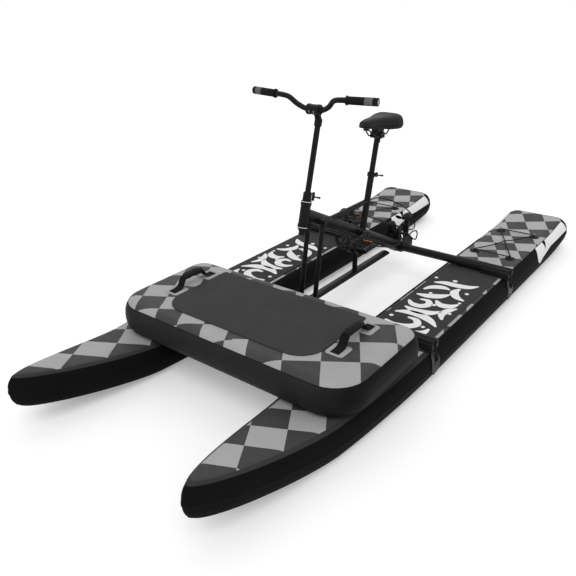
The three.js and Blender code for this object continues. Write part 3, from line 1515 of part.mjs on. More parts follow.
function propeller() {
  const y = -podFront - propGap - propHubLength;
  const hub = rod(v(0, y, 0), v(0, y + propHubLength, 0), propHubRadius, 16);
  const shaft = rod(v(0, y, 0), v(0, propShaftDepth - podFront, 0), propShaftRadius, 16);
  const blade = new THREE.Shape();
  const reach = (propellerDiameter / 2 - bladeRoot) / 2;
  blade.absellipse(bladeRoot + reach, 0, reach, bladeChord / 2, 0, 2 * Math.PI, false, 0);
  const flat = new THREE.ExtrudeGeometry(blade, { depth: bladeThickness, bevelEnabled: false, curveSegments: 6 });
  flat.translate(0, 0, -bladeThickness / 2);
  const turned = flat.rotateX(Math.PI / 2 - THREE.MathUtils.degToRad(bladePitch));
  turned.translate(0, y + propHubLength / 2, 0);
  const other = turned.clone().rotateY(Math.PI);
  return join(hub, shaft, turned, other).translate(0, 0, driveLegReach);
}

addMesh('propeller', propeller(), 'plastic', pivot);

// Steering cable: below the main beam, over the rear beam, and round to the stop on the bracket.
// The shares place its bends between the main beam and the stop.
const cableRadius = 3.5;
const cableBend = 8;
const cableMidY = 300;
const cableOut = 66;
const cableOver = 80;
const cableBehind = 17;
const cableOutShares = [0.47, 0.697, 0.818, 0.94, 1, 0.97];
const cableBackShares = [-1.068, -0.47, 0.043, 0.513, 0.829, 1];
const cableUpShares = [0.4825, 0.495, 0.72, 0.995, 0.92, 0.57];
const cableLastOut = 60;
const cableBack = pivotY - rearBeamY + cableBehind;
const stopX = plateOuter + stopBossLength + seatGap;
const stopPlace = v(stopX, pivotPoint.y + stopBossY, pivotPoint.z + stopBossRise);
const cableStart = stopPoint.clone().setX(cableX).addScaledVector(beamWay, seatGap);
const cableMid = onMainBeam(cableMidY).addScaledVector(beamDown, cableDrop).setX(cableX);
const cableBends = cableOutShares.map((share, i) => v(
  share * cableOut, rearBeamY + cableBackShares[i] * cableBack, beamZ + cableUpShares[i] * cableOver));
const cableRoute = rounded([
  cableStart, cableMid, ...cableBends, stopPlace.clone().setX(cableLastOut), stopPlace,
], cableBend, bendSteps);
addMesh('steering_cable', routeTube(cableRoute, cableRadius, 8), 'rubber');

// Lift rope: from the cleat on the seat tube in an arc over to the lug on the leg.
// The shares place it between its two ends, and outward.
const ropeRadius = 3;
const ropeOut = 64;
const ropeOutShares = [0.047, 0.203, 0.406, 0.64, 0.875, 1, 0.984, 0.78, 0.53];
const ropeBackShares = [0.153, 0.4, 0.611, 0.777, 0.896, 0.95, 0.975, 0.995, 1];
const ropeDownShares = [0.01, 0.13, 0.28, 0.44, 0.61, 0.76, 0.89, 0.97, 1];
const ropeStart = v(0, cleatY + seatGap, cleatPoint.z);
const ropeEnd = pivotPoint.clone().add(v(ropeLugSide + seatGap, -ropeLugAhead, ropeLugRise));
const ropeBends = ropeOutShares.map((share, i) => v(
  share * ropeOut,
  ropeStart.y + ropeBackShares[i] * (ropeEnd.y - ropeStart.y),
  ropeStart.z + ropeDownShares[i] * (ropeEnd.z - ropeStart.z)));
const ropeRoute = new THREE.CatmullRomCurve3([
  ropeStart, ...ropeBends, ropeEnd,
], false, 'centripetal').getSpacedPoints(36);
addMesh('lift_rope', routeTube(ropeRoute, ropeRadius, 8), 'rubber');

export default model;
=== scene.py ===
# Pontoon water bike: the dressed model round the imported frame.
# Row frame in metres; the numbers below are millimetres and are scaled when a mesh is made.
import json
import math

import bmesh
import bpy
import numpy as np
from mathutils import Matrix, Vector


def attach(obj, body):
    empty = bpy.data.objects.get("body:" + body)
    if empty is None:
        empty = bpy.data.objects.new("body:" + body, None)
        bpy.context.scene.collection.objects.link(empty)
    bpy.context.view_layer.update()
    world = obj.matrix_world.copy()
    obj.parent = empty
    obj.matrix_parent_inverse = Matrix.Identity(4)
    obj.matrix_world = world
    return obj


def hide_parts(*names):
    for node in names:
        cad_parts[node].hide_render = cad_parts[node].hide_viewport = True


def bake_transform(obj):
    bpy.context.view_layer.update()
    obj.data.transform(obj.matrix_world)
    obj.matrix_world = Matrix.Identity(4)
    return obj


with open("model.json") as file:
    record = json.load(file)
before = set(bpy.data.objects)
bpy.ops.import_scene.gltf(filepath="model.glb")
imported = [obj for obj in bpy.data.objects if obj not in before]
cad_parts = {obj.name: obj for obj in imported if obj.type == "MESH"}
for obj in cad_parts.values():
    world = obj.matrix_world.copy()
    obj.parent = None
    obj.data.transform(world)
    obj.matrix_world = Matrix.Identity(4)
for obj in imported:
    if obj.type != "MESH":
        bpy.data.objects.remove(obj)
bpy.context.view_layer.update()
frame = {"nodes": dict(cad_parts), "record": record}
MM = 0.001
scene = bpy.context.scene
scene.view_settings.view_transform = "Standard"


# Camera, at the photograph's place.
CAMERA_AZIMUTH = math.radians(38.51)
CAMERA_ELEVATION = math.radians(25.92)
CAMERA_ROLL = math.radians(-1.36)
CAMERA_TARGET = Vector((-0.1311, -0.2991, 0.2067))
CAMERA_DISTANCE = 2.973
CAMERA_LENS, CAMERA_SENSOR, CAMERA_CLIP = 38.87, 36, (0.05, 200)


def make_camera():
    sin_a, cos_a = math.sin(CAMERA_AZIMUTH), math.cos(CAMERA_AZIMUTH)
    sin_e, cos_e = math.sin(CAMERA_ELEVATION), math.cos(CAMERA_ELEVATION)
    back = Vector((sin_a * cos_e, -cos_a * cos_e, sin_e))
    right = Vector((cos_a, sin_a, 0))
    up = back.cross(right)
    turned_right = right * math.cos(CAMERA_ROLL) + up * math.sin(CAMERA_ROLL)
    turned_up = up * math.cos(CAMERA_ROLL) - right * math.sin(CAMERA_ROLL)
    data = bpy.data.cameras.new("camera")
    data.lens, data.sensor_width = CAMERA_LENS, CAMERA_SENSOR
    data.clip_start, data.clip_end = CAMERA_CLIP
    camera = bpy.data.objects.new("camera", data)
    turn = Matrix((turned_right, turned_up, back)).transposed().to_4x4()
    camera.matrix_world = Matrix.Translation(CAMERA_TARGET + back * CAMERA_DISTANCE) @ turn
    scene.collection.objects.link(camera)
    scene.camera = camera


make_camera()


# Materials
def linear(level):
    share = level / 255
    return share / 12.92 if share <= 0.04045 else ((share + 0.055) / 1.055) ** 2.4


def shade(red, green=None, blue=None):
    green = red if green is None else green
    blue = red if blue is None else blue
    return (linear(red), linear(green), linear(blue), 1)


class Nodes:
    """The nodes of a tree, with short calls to make and join them."""

    def __init__(self, tree):
        self.nodes, self.links = tree.nodes, tree.links
        self.nodes.clear()

    def put(self, socket, value):
        if isinstance(value, bpy.types.NodeSocket):
            self.links.new(value, socket)
        else:
            socket.default_value = value

    def node(self, kind, inputs, **settings):
        made = self.nodes.new("ShaderNode" + kind)
        for key, value in settings.items():
            setattr(made, key, value)
        for key, value in inputs.items():
            self.put(made.inputs[key], value)
        return made

    def math(self, operation, a, b=0.0):
        return self.node("Math", {0: a, 1: b}, operation=operation).outputs[0]

    def plus(self, a, b):
        return self.math("ADD", a, b)

    def minus(self, a, b):
        return self.math("SUBTRACT", a, b)

    def times(self, a, b):
        return self.math("MULTIPLY", a, b)

    def ramp(self, value, low, high, to_low=0.0, to_high=1.0):
        return self.node("MapRange", {0: value, 1: low, 2: high, 3: to_low, 4: to_high}).outputs[0]

    def seen(self):
        """1 for what the camera or a reflection shows, otherwise 0."""
        path = self.node("LightPath", {}).outputs
        return self.math("MAXIMUM", path["Is Camera Ray"], path["Is Glossy Ray"])


class Finish(Nodes):
    """A node material, with short calls for what the finishes share."""

    def __init__(self, name, roughness=0.5, metallic=0.0, specular=0.2):
        self.material = bpy.data.materials.new(name)
        self.material.use_nodes = True
        super().__init__(self.material.node_tree)
        self.shader = self.node("BsdfPrincipled", {
            "Roughness": roughness, "Metallic": metallic, "Specular IOR Level": specular})
        self.output = self.node("OutputMaterial", {0: self.shader.outputs[0]})
        self.place = self.node("TexCoord", {}).outputs["Object"]

    def mix(self, share, a, b):
        return self.node("Mix", {0: share, 6: a, 7: b}, data_type="RGBA").outputs[2]

    def noise(self, scale, detail=2.0, roughness=0.5, vector=None):
        return self.node("TexNoise", {
            "Vector": vector or self.place, "Scale": scale, "Detail": detail, "Roughness": roughness,
        }).outputs[0]

    def wave(self, scale, direction, vector=None):
        return self.node("TexWave", {
            "Vector": vector or self.place, "Scale": scale}, bands_direction=direction).outputs[1]

    def axes(self):
        return self.node("SeparateXYZ", {0: self.place}).outputs

    def bump(self, height, strength, distance=0.001):
        made = self.node("Bump", {"Height": height, "Strength": strength, "Distance": distance})
        self.links.new(made.outputs[0], self.shader.inputs["Normal"])

    def colour(self, value):
        self.put(self.shader.inputs["Base Color"], value)

    def rough(self, value):
        self.put(self.shader.inputs["Roughness"], value)

    def mottled(self, low, high, scale):
        self.colour(self.mix(self.noise(scale, 4.0, 0.6), low, high))

    def weave(self, scale, strength):
        self.bump(self.times(self.wave(scale, "X"), self.wave(scale, "Y")), strength, 0.0004)

    def cells(self, scale, strength, depth):
        cells = self.node("TexVoronoi", {"Vector": self.place, "Scale": scale}).outputs[0]
        self.bump(cells, strength, depth)

    def streaks(self, scale, low, high, strength):
        """Fine lines that vary the roughness from low to high and show as a bump."""
        stretched = self.node("Mapping", {"Vector": self.place, "Scale": scale}).outputs[0]
        lines = self.noise(1.0, 3.0, 0.6, vector=stretched)
        self.rough(self.ramp(lines, 0.25, 0.75, low, high))
        self.bump(lines, strength, 0.0003)


def checks(finish, layout, light, dark):
    """A turned checkerboard on X and Y, from a layout as in HULL_PRINTS."""
    corner, cell, turn, swap = layout
    turn = math.radians(turn)
    x, y = corner[0] / cell, corner[1] / cell
    cos_t, sin_t = math.cos(turn), math.sin(turn)
    moved = finish.node("Mapping", {
        "Vector": finish.place,
        "Location": (-(x * cos_t + y * sin_t) + 40, x * sin_t - y * cos_t + 40, 0.5),
        "Rotation": (0, 0, -turn),
        "Scale": (1 / (cell * MM), 1 / (cell * MM), 0),
    }).outputs[0]
    colours = (dark, light) if swap else (light, dark)
    return finish.node("TexChecker", {
        "Vector": moved, "Scale": 1.0, "Color1": colours[0], "Color2": colours[1],
    }).outputs[0]


# Each print: a corner of its squares (mm), their size, their turn in degrees, and which come light.
HULL_PRINTS = {
    "left": {"stern": ((-34, 73), 114, 28.5, True), "bow": ((30, 111), 126, 32, True)},
    "right": {"stern": ((19, 65), 108, 25.5, False), "bow": ((16, 148), 138, 37, False)},
}
PLATFORM_PRINTS = {"left": ((35, 45), 140, 33, False), "right": ((8, 46), 111, 30, False)}
# In metres: where stern and bow prints meet, where the bow's ends, and where the platform's two meet.
PRINTS_MEET, PRINT_FRONT, PLATFORM_PRINTS_MEET = -0.4, -1.475, 0.09
# The stern panel in metres: its lower edge as (along, height), its ends, its rounded fore edge, its notch.
PANEL_FLOOR = ((0.93, 0.03), (1.00, 0.078), (1.09, 0.097), (1.18, 0.111), (1.30, 0.113), (1.46, 0.122))
PANEL_START, PANEL_END = 0.962, 1.465
PANEL_NOSE_HEIGHT, PANEL_NOSE_CURVE = 0.104, 26.0
NOTCH_AT, NOTCH_TOP, NOTCH_FOOT, NOTCH_LEAN, NOTCH_SPREAD = 1.142, 0.146, 0.118, 1.6, 0.75
# The platform's middle along X, and where the painted shade on its two ends begins and ends, in metres.
PLATFORM_MIDDLE, END_SHADE_SPAN = 0.033, (0.46, 0.58)


def print_fabric(name, roughness, specular, grain_scale, tones, layouts, axis, border, rough, tip=None):
    """Coated fabric with two printed checkerboards that meet at a border, and plain dark before a tip."""
    made = Finish(name, roughness, 0.0, specular)
    grain = made.noise(grain_scale, 5.0, 0.6)
    light, dark = [made.mix(grain, shade(low), shade(high)) for low, high in tones]
    after, before = [checks(made, layout, light, dark) for layout in layouts]
    along = made.axes()[axis]
    colour = made.mix(made.math("LESS_THAN", along, border), after, before)
    if tip is not None:
        colour = made.mix(made.math("LESS_THAN", along, tip), colour, dark)
    made.colour(colour)
    made.rough(made.ramp(made.noise(30), 0.3, 0.7, *rough))
    made.weave(700, 0.12)
    return made.material


def hull_print(side):
    layouts = [HULL_PRINTS[side][end] for end in ("stern", "bow")]
    return print_fabric(f"hull_print_{side}", 0.55, 0.08, 9, ((156, 178), (58, 72)), layouts,
                        1, PRINTS_MEET, (0.44, 0.6), PRINT_FRONT)


def platform_print():
    layouts = [PLATFORM_PRINTS[end] for end in ("left", "right")]
    return print_fabric("platform_print", 0.5, 0.12, 8, ((152, 174), (56, 70)), layouts,
                        0, PLATFORM_PRINTS_MEET, (0.42, 0.58))


def hull_side():
    """Dark coated fabric, with a white panel towards the stern that a leaning notch divides."""
    made = Finish("hull_side", 0.62, 0.0, 0.03)
    grain = made.noise(8, 5.0, 0.6)
    _, along, height = made.axes()
    rises = [made.ramp(along, a, b, 0.0, high - low)
             for (a, low), (b, high) in zip(PANEL_FLOOR, PANEL_FLOOR[1:])]
    floor = rises[0]
    for rise in (*rises[1:], PANEL_FLOOR[0][1]):
        floor = made.plus(floor, rise)
    above = made.math("GREATER_THAN", height, floor)
    nose = made.math("POWER", made.math("ABSOLUTE", made.minus(height, PANEL_NOSE_HEIGHT)), 2.0)
    behind = made.math("GREATER_THAN", along, made.plus(PANEL_START, made.times(nose, PANEL_NOSE_CURVE)))
    ahead = made.math("LESS_THAN", along, PANEL_END)
    lean = made.times(made.minus(NOTCH_TOP, height), NOTCH_LEAN)
    from_notch = made.math("ABSOLUTE", made.plus(made.minus(along, NOTCH_AT), lean))
    notch_half = made.times(made.minus(height, NOTCH_FOOT), NOTCH_SPREAD)
    clear = made.math("GREATER_THAN", from_notch, notch_half)
    panel = made.times(made.times(above, behind), made.times(ahead, clear))
    base = made.mix(grain, shade(13), shade(21))
    made.colour(made.mix(panel, base, made.mix(grain, shade(222), shade(242))))
    made.weave(650, 0.15)
    return made.material


def platform_side():
    """Dark grey coated fabric, with painted shade that darkens it to near black towards the platform's two
    ends.
    """
    made = Finish("platform_side", 0.52, 0.0, 0.05)
    grain = made.noise(12, 4.0, 0.6)
    painted_shade = made.ramp(made.math("ABSOLUTE", made.minus(made.axes()[0], PLATFORM_MIDDLE)), *END_SHADE_SPAN)
    low, high = made.mix(painted_shade, shade(34), shade(14)), made.mix(painted_shade, shade(44), shade(22))
    made.colour(made.mix(grain, low, high))
    made.weave(650, 0.14)
    return made.material


def fabric(name, low, high, roughness, weave, strength, scale=12):
    made = Finish(name, roughness, 0.0, 0.05)
    made.mottled(shade(low), shade(high), scale)
    made.weave(weave, strength)
    return made.material


def foam(name, low, high):
    """Closed-cell foam sheet with fine diamond grooves."""
    made = Finish(name, 0.88, 0.0, 0.1)
    made.mottled(shade(low), shade(high), 14)
    turned = made.node("Mapping", {"Vector": made.place, "Rotation": (0, 0, math.radians(45))}).outputs[0]
    grooves = made.times(made.wave(52, "X", turned), made.wave(52, "Y", turned))
    made.bump(made.plus(grooves, made.times(made.noise(900), 0.35)), 0.35, 0.0008)
    return made.material


def coated(name, low, high, roughness, metallic=0.0, speckle=0.08):
    """Powder coat or moulded plastic: fine orange-peel bump and slight tone changes."""
    made = Finish(name, roughness, metallic, 0.14)
    made.mottled(shade(low), shade(high), 22)
    made.rough(made.ramp(made.noise(60, 3.0), 0.3, 0.7, roughness - 0.07, roughness + 0.1))
    made.bump(made.noise(1400, 2.0), speckle, 0.0005)
    return made.material


def metal(name, low, high, roughness):
    made = Finish(name, roughness, 1.0)
    made.mottled(shade(low), shade(high), 40)
    made.streaks((30, 900, 900), roughness - 0.08, roughness + 0.14, 0.04)
    return made.material


def brushed_beam():
    """Anodised tube with fine lines along it."""
    made = Finish("anodised_beam", 0.4, 0.1, 0.16)
    made.mottled(shade(20), shade(28), 18)
    made.streaks((20, 700, 700), 0.28, 0.46, 0.05)
    return made.material


def vinyl():
    """Saddle cover: soft grain with a faint sheen."""
    made = Finish("saddle_vinyl", 0.55, 0.0, 0.1)
    made.mottled(shade(27), shade(36), 30)
    made.cells(420.0, 0.16, 0.0006)
    made.shader.inputs["Sheen Weight"].default_value = 0.05
    return made.material


def cord_finish(name, low, high):
    made = Finish(name, 0.75)
    made.mottled(shade(low), shade(high), 60)
    made.bump(made.times(made.wave(260, "DIAGONAL"), made.wave(260, "Y")), 0.4, 0.0006)
    return made.material


def amber():
    made = Finish("amber_reflector_lens", 0.18)
    made.mottled(shade(196, 112, 34), shade(178, 92, 24), 60)
    made.cells(300.0, 0.5, 0.0008)
    return made.material


FINISHES = {
    "hull_left": hull_print("left"),
    "hull_right": hull_print("right"),
    "side": hull_side(),
    "margin": fabric("hull_margin", 50, 60, 0.5, 650, 0.12),
    "bottom": fabric("hull_bottom", 13, 19, 0.7, 600, 0.15),
    "tape": fabric("seam_tape", 20, 28, 0.6, 500, 0.08),
    "platform": platform_print(),
    "platform_side": platform_side(),
    "foam": foam("pad_foam", 56, 65),
    "deck_foam": foam("deck_pad_foam", 54, 64),
    "motif": fabric("white_motif", 226, 244, 0.7, 500, 0.05),
    "webbing": fabric("black_webbing", 20, 32, 0.8, 420, 0.5, 30),
    "patch": fabric("grey_patch", 74, 90, 0.7, 500, 0.25),
    "dark_patch": fabric("dark_patch", 34, 46, 0.6, 500, 0.2),
    "pale_patch": fabric("pale_patch", 150, 172, 0.7, 500, 0.25),
    "bungee": cord_finish("bungee_cord", 18, 32),
    "rope": cord_finish("lift_rope", 16, 26),
    "cable": coated("cable_cover", 14, 20, 0.34),
    "frame": coated("powder_coat", 12, 17, 0.42),
    "beam": brushed_beam(),
    "plastic": coated("moulded_plastic", 22, 30, 0.5),
    "dark_plastic": coated("dark_plastic", 15, 22, 0.42),
    "rubber": coated("black_rubber", 18, 25, 0.7, 0.0, 0.2),
    "silver": metal("polished_metal", 182, 200, 0.22),
    "steel": metal("brushed_steel", 120, 142, 0.34),
    "dark_metal": metal("blackened_metal", 40, 56, 0.36),
    "chain": metal("chain_steel", 52, 74, 0.4),
    # A pale band near each grip's end: a label band, and on the left grip also a painted highlight.
    "grip_band_and_highlight": coated("grip_band_and_highlight", 92, 110, 0.6),
    "saddle": vinyl(),
    "saddle_trim": coated("saddle_trim", 14, 20, 0.6),
    "amber": amber(),
}


# Mesh building
def vec(x, y, z):
    return np.array((x, y, z), float)


def unit(v):
    return v / np.linalg.norm(v)


X, Y, Z, ORIGIN = vec(1, 0, 0), vec(0, 1, 0), vec(0, 0, 1), vec(0, 0, 0)
SIDES = ((1, "left"), (-1, "right"))


def turns_of(count):
    """Even turns of a circle, in radians."""
    return [2 * math.pi * i / count for i in range(count)]


def oval(centre, side, up, wide, deep, count):
    """Points round an oval whose axes are side and up."""
    return [centre + side * math.cos(t) * wide + up * math.sin(t) * deep for t in turns_of(count)]


def both(profile):
    """A profile of (along, radius) with its mirror image before it."""
    return [(-along, radius) for along, radius in profile[::-1]] + profile


def piece(name, verts, faces, finish, body, slot, replaced=(), sharp=35, bevel=0.0, extra=(), picks=None):
    """A mesh from points in millimetres that rides on a body and takes its finish by name from FINISHES;
    slot is not used.
    """
    mesh = bpy.data.meshes.new(name)
    mesh.from_pydata([tuple(float(c) * MM for c in v) for v in verts], [], [tuple(f) for f in faces])
    for kind in (finish, *extra):
        mesh.materials.append(FINISHES[kind])
    if picks is not None:
        mesh.polygons.foreach_set("material_index", picks)
    shell = bmesh.new()
    shell.from_mesh(mesh)
    bmesh.ops.recalc_face_normals(shell, faces=shell.faces)
    shell.to_mesh(mesh)
    shell.free()
    mesh.polygons.foreach_set("use_smooth", [True] * len(mesh.polygons))
    mesh.set_sharp_from_angle(angle=math.radians(sharp))
    made = bpy.data.objects.new(name, mesh)
    scene.collection.objects.link(made)
    if bevel:
        edge = made.modifiers.new("edge", "BEVEL")
        edge.width, edge.segments = bevel * MM, 2
        edge.limit_method, edge.angle_limit = "ANGLE", math.radians(32)
    if body:
        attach(made, body)
    if replaced:
        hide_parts(*replaced)
    return made


class Build:
    """Collects solids so that several make one piece."""

    def __init__(self):
        self.verts, self.faces, self.picks = [], [], []

    def add(self, solid, pick=0):
        verts, faces = solid
        start = len(self.verts)
        self.verts.extend(verts)
        self.faces.extend([tuple(start + i for i in f) for f in faces])
        self.picks.extend([pick] * len(faces))
        return self

    def add_all(self, solids):
        for solid in solids:
            self.add(solid)
        return self

    def place(self, origin, turn=0.0, flip=False):
        """Turns the solids about X, mirrors them if asked, and moves them to origin."""
        cos_t, sin_t = math.cos(turn), math.sin(turn)
        sign = -1 if flip else 1
        self.verts = [
            origin + vec(sign * x, y * cos_t - z * sin_t, y * sin_t + z * cos_t) for x, y, z in self.verts]
        return self

    def make(self, name, finish, body, slot, **settings):
        return piece(name, self.verts, self.faces, finish, body, slot, picks=self.picks, **settings)


def skin(rings, closed=False):
    """Quads through rings of points, with flat ends unless the rings close on themselves."""
    count = len(rings[0])
    verts = [p for ring in rings for p in ring]
    faces = []
    spans = len(rings) if closed else len(rings) - 1
    for r in range(spans):
        a, b = r * count, ((r + 1) % len(rings)) * count
        for i in range(count):
            j = (i + 1) % count
            faces.append((a + i, a + j, b + j, b + i))
    if not closed:
        faces.append(tuple(range(count))[::-1])
        faces.append(tuple((len(rings) - 1) * count + i for i in range(count)))
    return verts, faces


def across_of(way):
    side = vec(1, 0, 0) if abs(way[0]) < 0.9 else vec(0, 1, 0)
    up = unit(np.cross(way, side))
    return np.cross(up, way), up


def rod(a, b, radius, sides=32, flat=None, edge=0.0):
    """A round bar, or an oval one where flat is its other radius, with eased ends."""
    way = unit(b - a)
    side, up = across_of(way)
    flat = radius if flat is None else flat
    length = np.linalg.norm(b - a)
    stops = [(0, -edge), (edge, 0), (length - edge, 0), (length, -edge)] if edge else [(0, 0), (length, 0)]
    return skin([
        oval(a + way * along, side, up, radius + less, flat + less, sides) for along, less in stops])


def lathe(profile, start, way, sides=32):
    """Rings of (along, radius) about an axis."""
    way = unit(way)
    side, up = across_of(way)
    return skin([
        oval(start + way * along, side, up, max(radius, 0.02), max(radius, 0.02), sides)
        for along, radius in profile])


def smooth_path(points, steps=8):
    """A centripetal curve through points, sampled between each pair."""
    def between(a, b, from_a, to_b, at):
        return (to_b - at) / (to_b - from_a) * a + (at - from_a) / (to_b - from_a) * b

    points = [np.array(p, float) for p in points]
    ends = [2 * points[0] - points[1], *points, 2 * points[-1] - points[-2]]
    out = []
    for i in range(1, len(ends) - 2):
        p0, p1, p2, p3 = ends[i - 1:i + 3]
        t0 = 0.0
        t1 = t0 + max(np.linalg.norm(p1 - p0), 1e-6) ** 0.5
        t2 = t1 + max(np.linalg.norm(p2 - p1), 1e-6) ** 0.5
        t3 = t2 + max(np.linalg.norm(p3 - p2), 1e-6) ** 0.5
        for k in range(steps):
            t = t1 + (t2 - t1) * k / steps
            middle = between(p1, p2, t1, t2, t)
            b1 = between(between(p0, p1, t0, t1, t), middle, t0, t2, t)
            b2 = between(middle, between(p2, p3, t2, t3, t), t1, t3, t)
            out.append(between(b1, b2, t1, t2, t))
    out.append(points[-1])
    return out


def bent(points, bend, steps=6):
    """A line whose corners are eased over the same length."""
    points = [np.array(p, float) for p in points]
    out = [points[0]]
    for before, corner, after in zip(points, points[1:], points[2:]):
        reach_in = min(bend, np.linalg.norm(before - corner) / 2)
        reach_out = min(bend, np.linalg.norm(after - corner) / 2)
        a, b = corner + unit(before - corner) * reach_in, corner + unit(after - corner) * reach_out
        for i in range(steps + 1):
            t = i / steps
            out.append(a * (1 - t) ** 2 + corner * 2 * t * (1 - t) + b * t ** 2)
    out.append(points[-1])
    return out


def even_path(points, count):
    """The same line with evenly spaced points."""
    points = np.array(points)
    gaps = np.linalg.norm(np.diff(points, axis=0), axis=1)
    along = np.concatenate([[0], np.cumsum(gaps)])
    wanted = np.linspace(0, along[-1], count)
    return [np.array([np.interp(w, along, points[:, k]) for k in range(3)]) for w in wanted]


def ways_of(points, closed=False):
    count = len(points)
    ways = []
    for i in range(count):
        before = points[(i - 1) % count] if closed else points[max(i - 1, 0)]
        after = points[(i + 1) % count] if closed else points[min(i + 1, count - 1)]
        ways.append(unit(after - before))
    return ways


def sweep(points, radius, sides=12, closed=False):
    """A tube along points, turned as little as it can be; radius may be a list."""
    ways = ways_of(points, closed)
    side, up = across_of(ways[0])
    rings = []
    radii = radius if hasattr(radius, "__len__") else [radius] * len(points)
    for point, way, r in zip(points, ways, radii):
        side = unit(side - way * side.dot(way))
        up = np.cross(way, side)
        rings.append(oval(point, side, up, r, r, sides))
    return skin(rings, closed)


def band(points, across, width, thickness, closed=False):
    """A flat strap along points: across is its width direction; the edges are eased."""
    ways = ways_of(points, closed)
    rings = []
    widths = width if hasattr(width, "__len__") else [width] * len(points)
    for point, way, wide in zip(points, ways, widths):
        side = unit(across - way * across.dot(way))
        up = np.cross(way, side)
        w, t = wide / 2, thickness / 2
        ease = min(t * 0.6, w * 0.3)
        section = [
            (-w, -t + ease), (-w + ease, -t), (w - ease, -t), (w, -t + ease),
            (w, t - ease), (w - ease, t), (-w + ease, t), (-w, t - ease)]
        rings.append([point + side * a + up * b for a, b in section])
    return skin(rings, closed)


def prism(outline, origin, side, up, depth):
    """An outline of (side, up) pairs with a depth vector."""
    low = [origin + side * a + up * b for a, b in outline]
    high = [p + depth for p in low]
    return skin([low, high])


def box_solid(low, high):
    x0, y0, z0 = low
    x1, y1, z1 = high
    return skin([
        [vec(x0, y0, z0), vec(x1, y0, z0), vec(x1, y1, z0), vec(x0, y1, z0)],
        [vec(x0, y0, z1), vec(x1, y0, z1), vec(x1, y1, z1), vec(x0, y1, z1)]])


def torus(centre, normal, radius, wire, sides, tube=10):
    side, up = across_of(unit(normal))
    return sweep(oval(centre, side, up, radius, radius, sides), wire, tube, closed=True)


def rounded_outline(x0, x1, y0, y1, front, back, steps=6):
    """A rectangle with its own corner radius at each end."""
    corners = [
        (x1 - front, y0 + front, front, -90), (x1 - back, y1 - back, back, 0),
        (x0 + back, y1 - back, back, 90), (x0 + front, y0 + front, front, 180)]
    out = []
    for cx, cy, radius, first in corners:
        for i in range(steps + 1):
            turn = math.radians(first + 90 * i / steps)
            out.append((cx + radius * math.cos(turn), cy + radius * math.sin(turn)))
    return out


def hull_round(circles, sides=24):
    """The convex outline round several circles (a, b, radius)."""
    points = sorted(
        (a + r * math.cos(t), b + r * math.sin(t)) for a, b, r in circles for t in turns_of(sides))

    def half(items):
        chain = []
        for p in items:
            while len(chain) > 1 and (
                (chain[-1][0] - chain[-2][0]) * (p[1] - chain[-2][1])
                - (chain[-1][1] - chain[-2][1]) * (p[0] - chain[-2][0])) <= 0:
                chain.pop()
            chain.append(p)
        return chain[:-1]

    return half(points) + half(points[::-1])


# Hulls
HULL_LENGTH, HULL_WIDTH, HULL_THICK = 3100, 390, 150
HULL_CENTRE = 460
BOW_TAPER, BOW_FINENESS, STERN_CORNER = 1280, 1.25, 85
PLATFORM_WIDTH, PLATFORM_DEPTH, PLATFORM_THICK = 1230, 572, 150
PLATFORM_BACK, PLATFORM_OFFSET = -413, 33
PLATFORM_FRONT = PLATFORM_BACK - PLATFORM_DEPTH
PLATFORM_CORNER, PLATFORM_BACK_CORNER = 155, 90
BOW_RISE, BOW_START, BOW_POWER = 104, PLATFORM_FRONT + 24, 1.26
STERN_RISE, STERN_START, STERN_POWER = 38, 1200, 1.6
HULL_ROUND, PLATFORM_ROUND = 64, 58
SEAM_TURN, LOW_SEAM_TURN, PRINT_TURN, BOW_PRINT_END = 50, -42, 70, -300
SEAM_WIRE, SEAM_SIDES = 1.5, 6
HULL_STATIONS = (*range(-200, 1200, 200), 1200, 1260, 1320, 1380, 1430)


def hull_half(inset, bow_steps=30, corner_steps=9):
    """The outline's half on the +X side, from the bow's tip to the stern."""
    taper_y = BOW_TAPER - HULL_LENGTH / 2
    out = []
    for i in range(bow_steps + 1):
        turn = math.pi / 2 * (i / bow_steps)
        out.append((
            (HULL_WIDTH / 2 - inset) * math.sin(turn) ** BOW_FINENESS,
            taper_y - (BOW_TAPER - inset) * math.cos(turn)))
    for y in HULL_STATIONS:
        out.append((HULL_WIDTH / 2 - inset, y))
    for i in range(corner_steps + 1):
        turn = math.pi / 2 * (i / corner_steps)
        corner = STERN_CORNER - inset
        out.append((
            HULL_WIDTH / 2 - STERN_CORNER + corner * math.cos(turn),
            HULL_LENGTH / 2 - STERN_CORNER + corner * math.sin(turn)))
    return out


def platform_half(inset, steps=9):
    out = []
    for end, radius in ((-1, PLATFORM_CORNER), (1, PLATFORM_BACK_CORNER)):
        corner, centre_x = radius - inset, PLATFORM_WIDTH / 2 - radius
        centre_y = (PLATFORM_FRONT + PLATFORM_BACK) / 2 + end * (PLATFORM_DEPTH / 2 - radius)
        for i in range(steps + 1):
            turn = math.pi / 2 * (i / steps - 1 if end < 0 else i / steps)
            out.append((centre_x + corner * math.cos(turn), centre_y + corner * math.sin(turn)))
    return out


def hull_lift(y):
    """How far the hull's bow and stern rise above its middle."""
    bow = max(0.0, (BOW_START - y) / (BOW_START + HULL_LENGTH / 2))
    stern = max(0.0, (y - STERN_START) / (HULL_LENGTH / 2 - STERN_START))
    return BOW_RISE * bow ** BOW_POWER + STERN_RISE * stern ** STERN_POWER


TOP, SIDE, BELOW, MARGIN = 0, 1, 2, 3


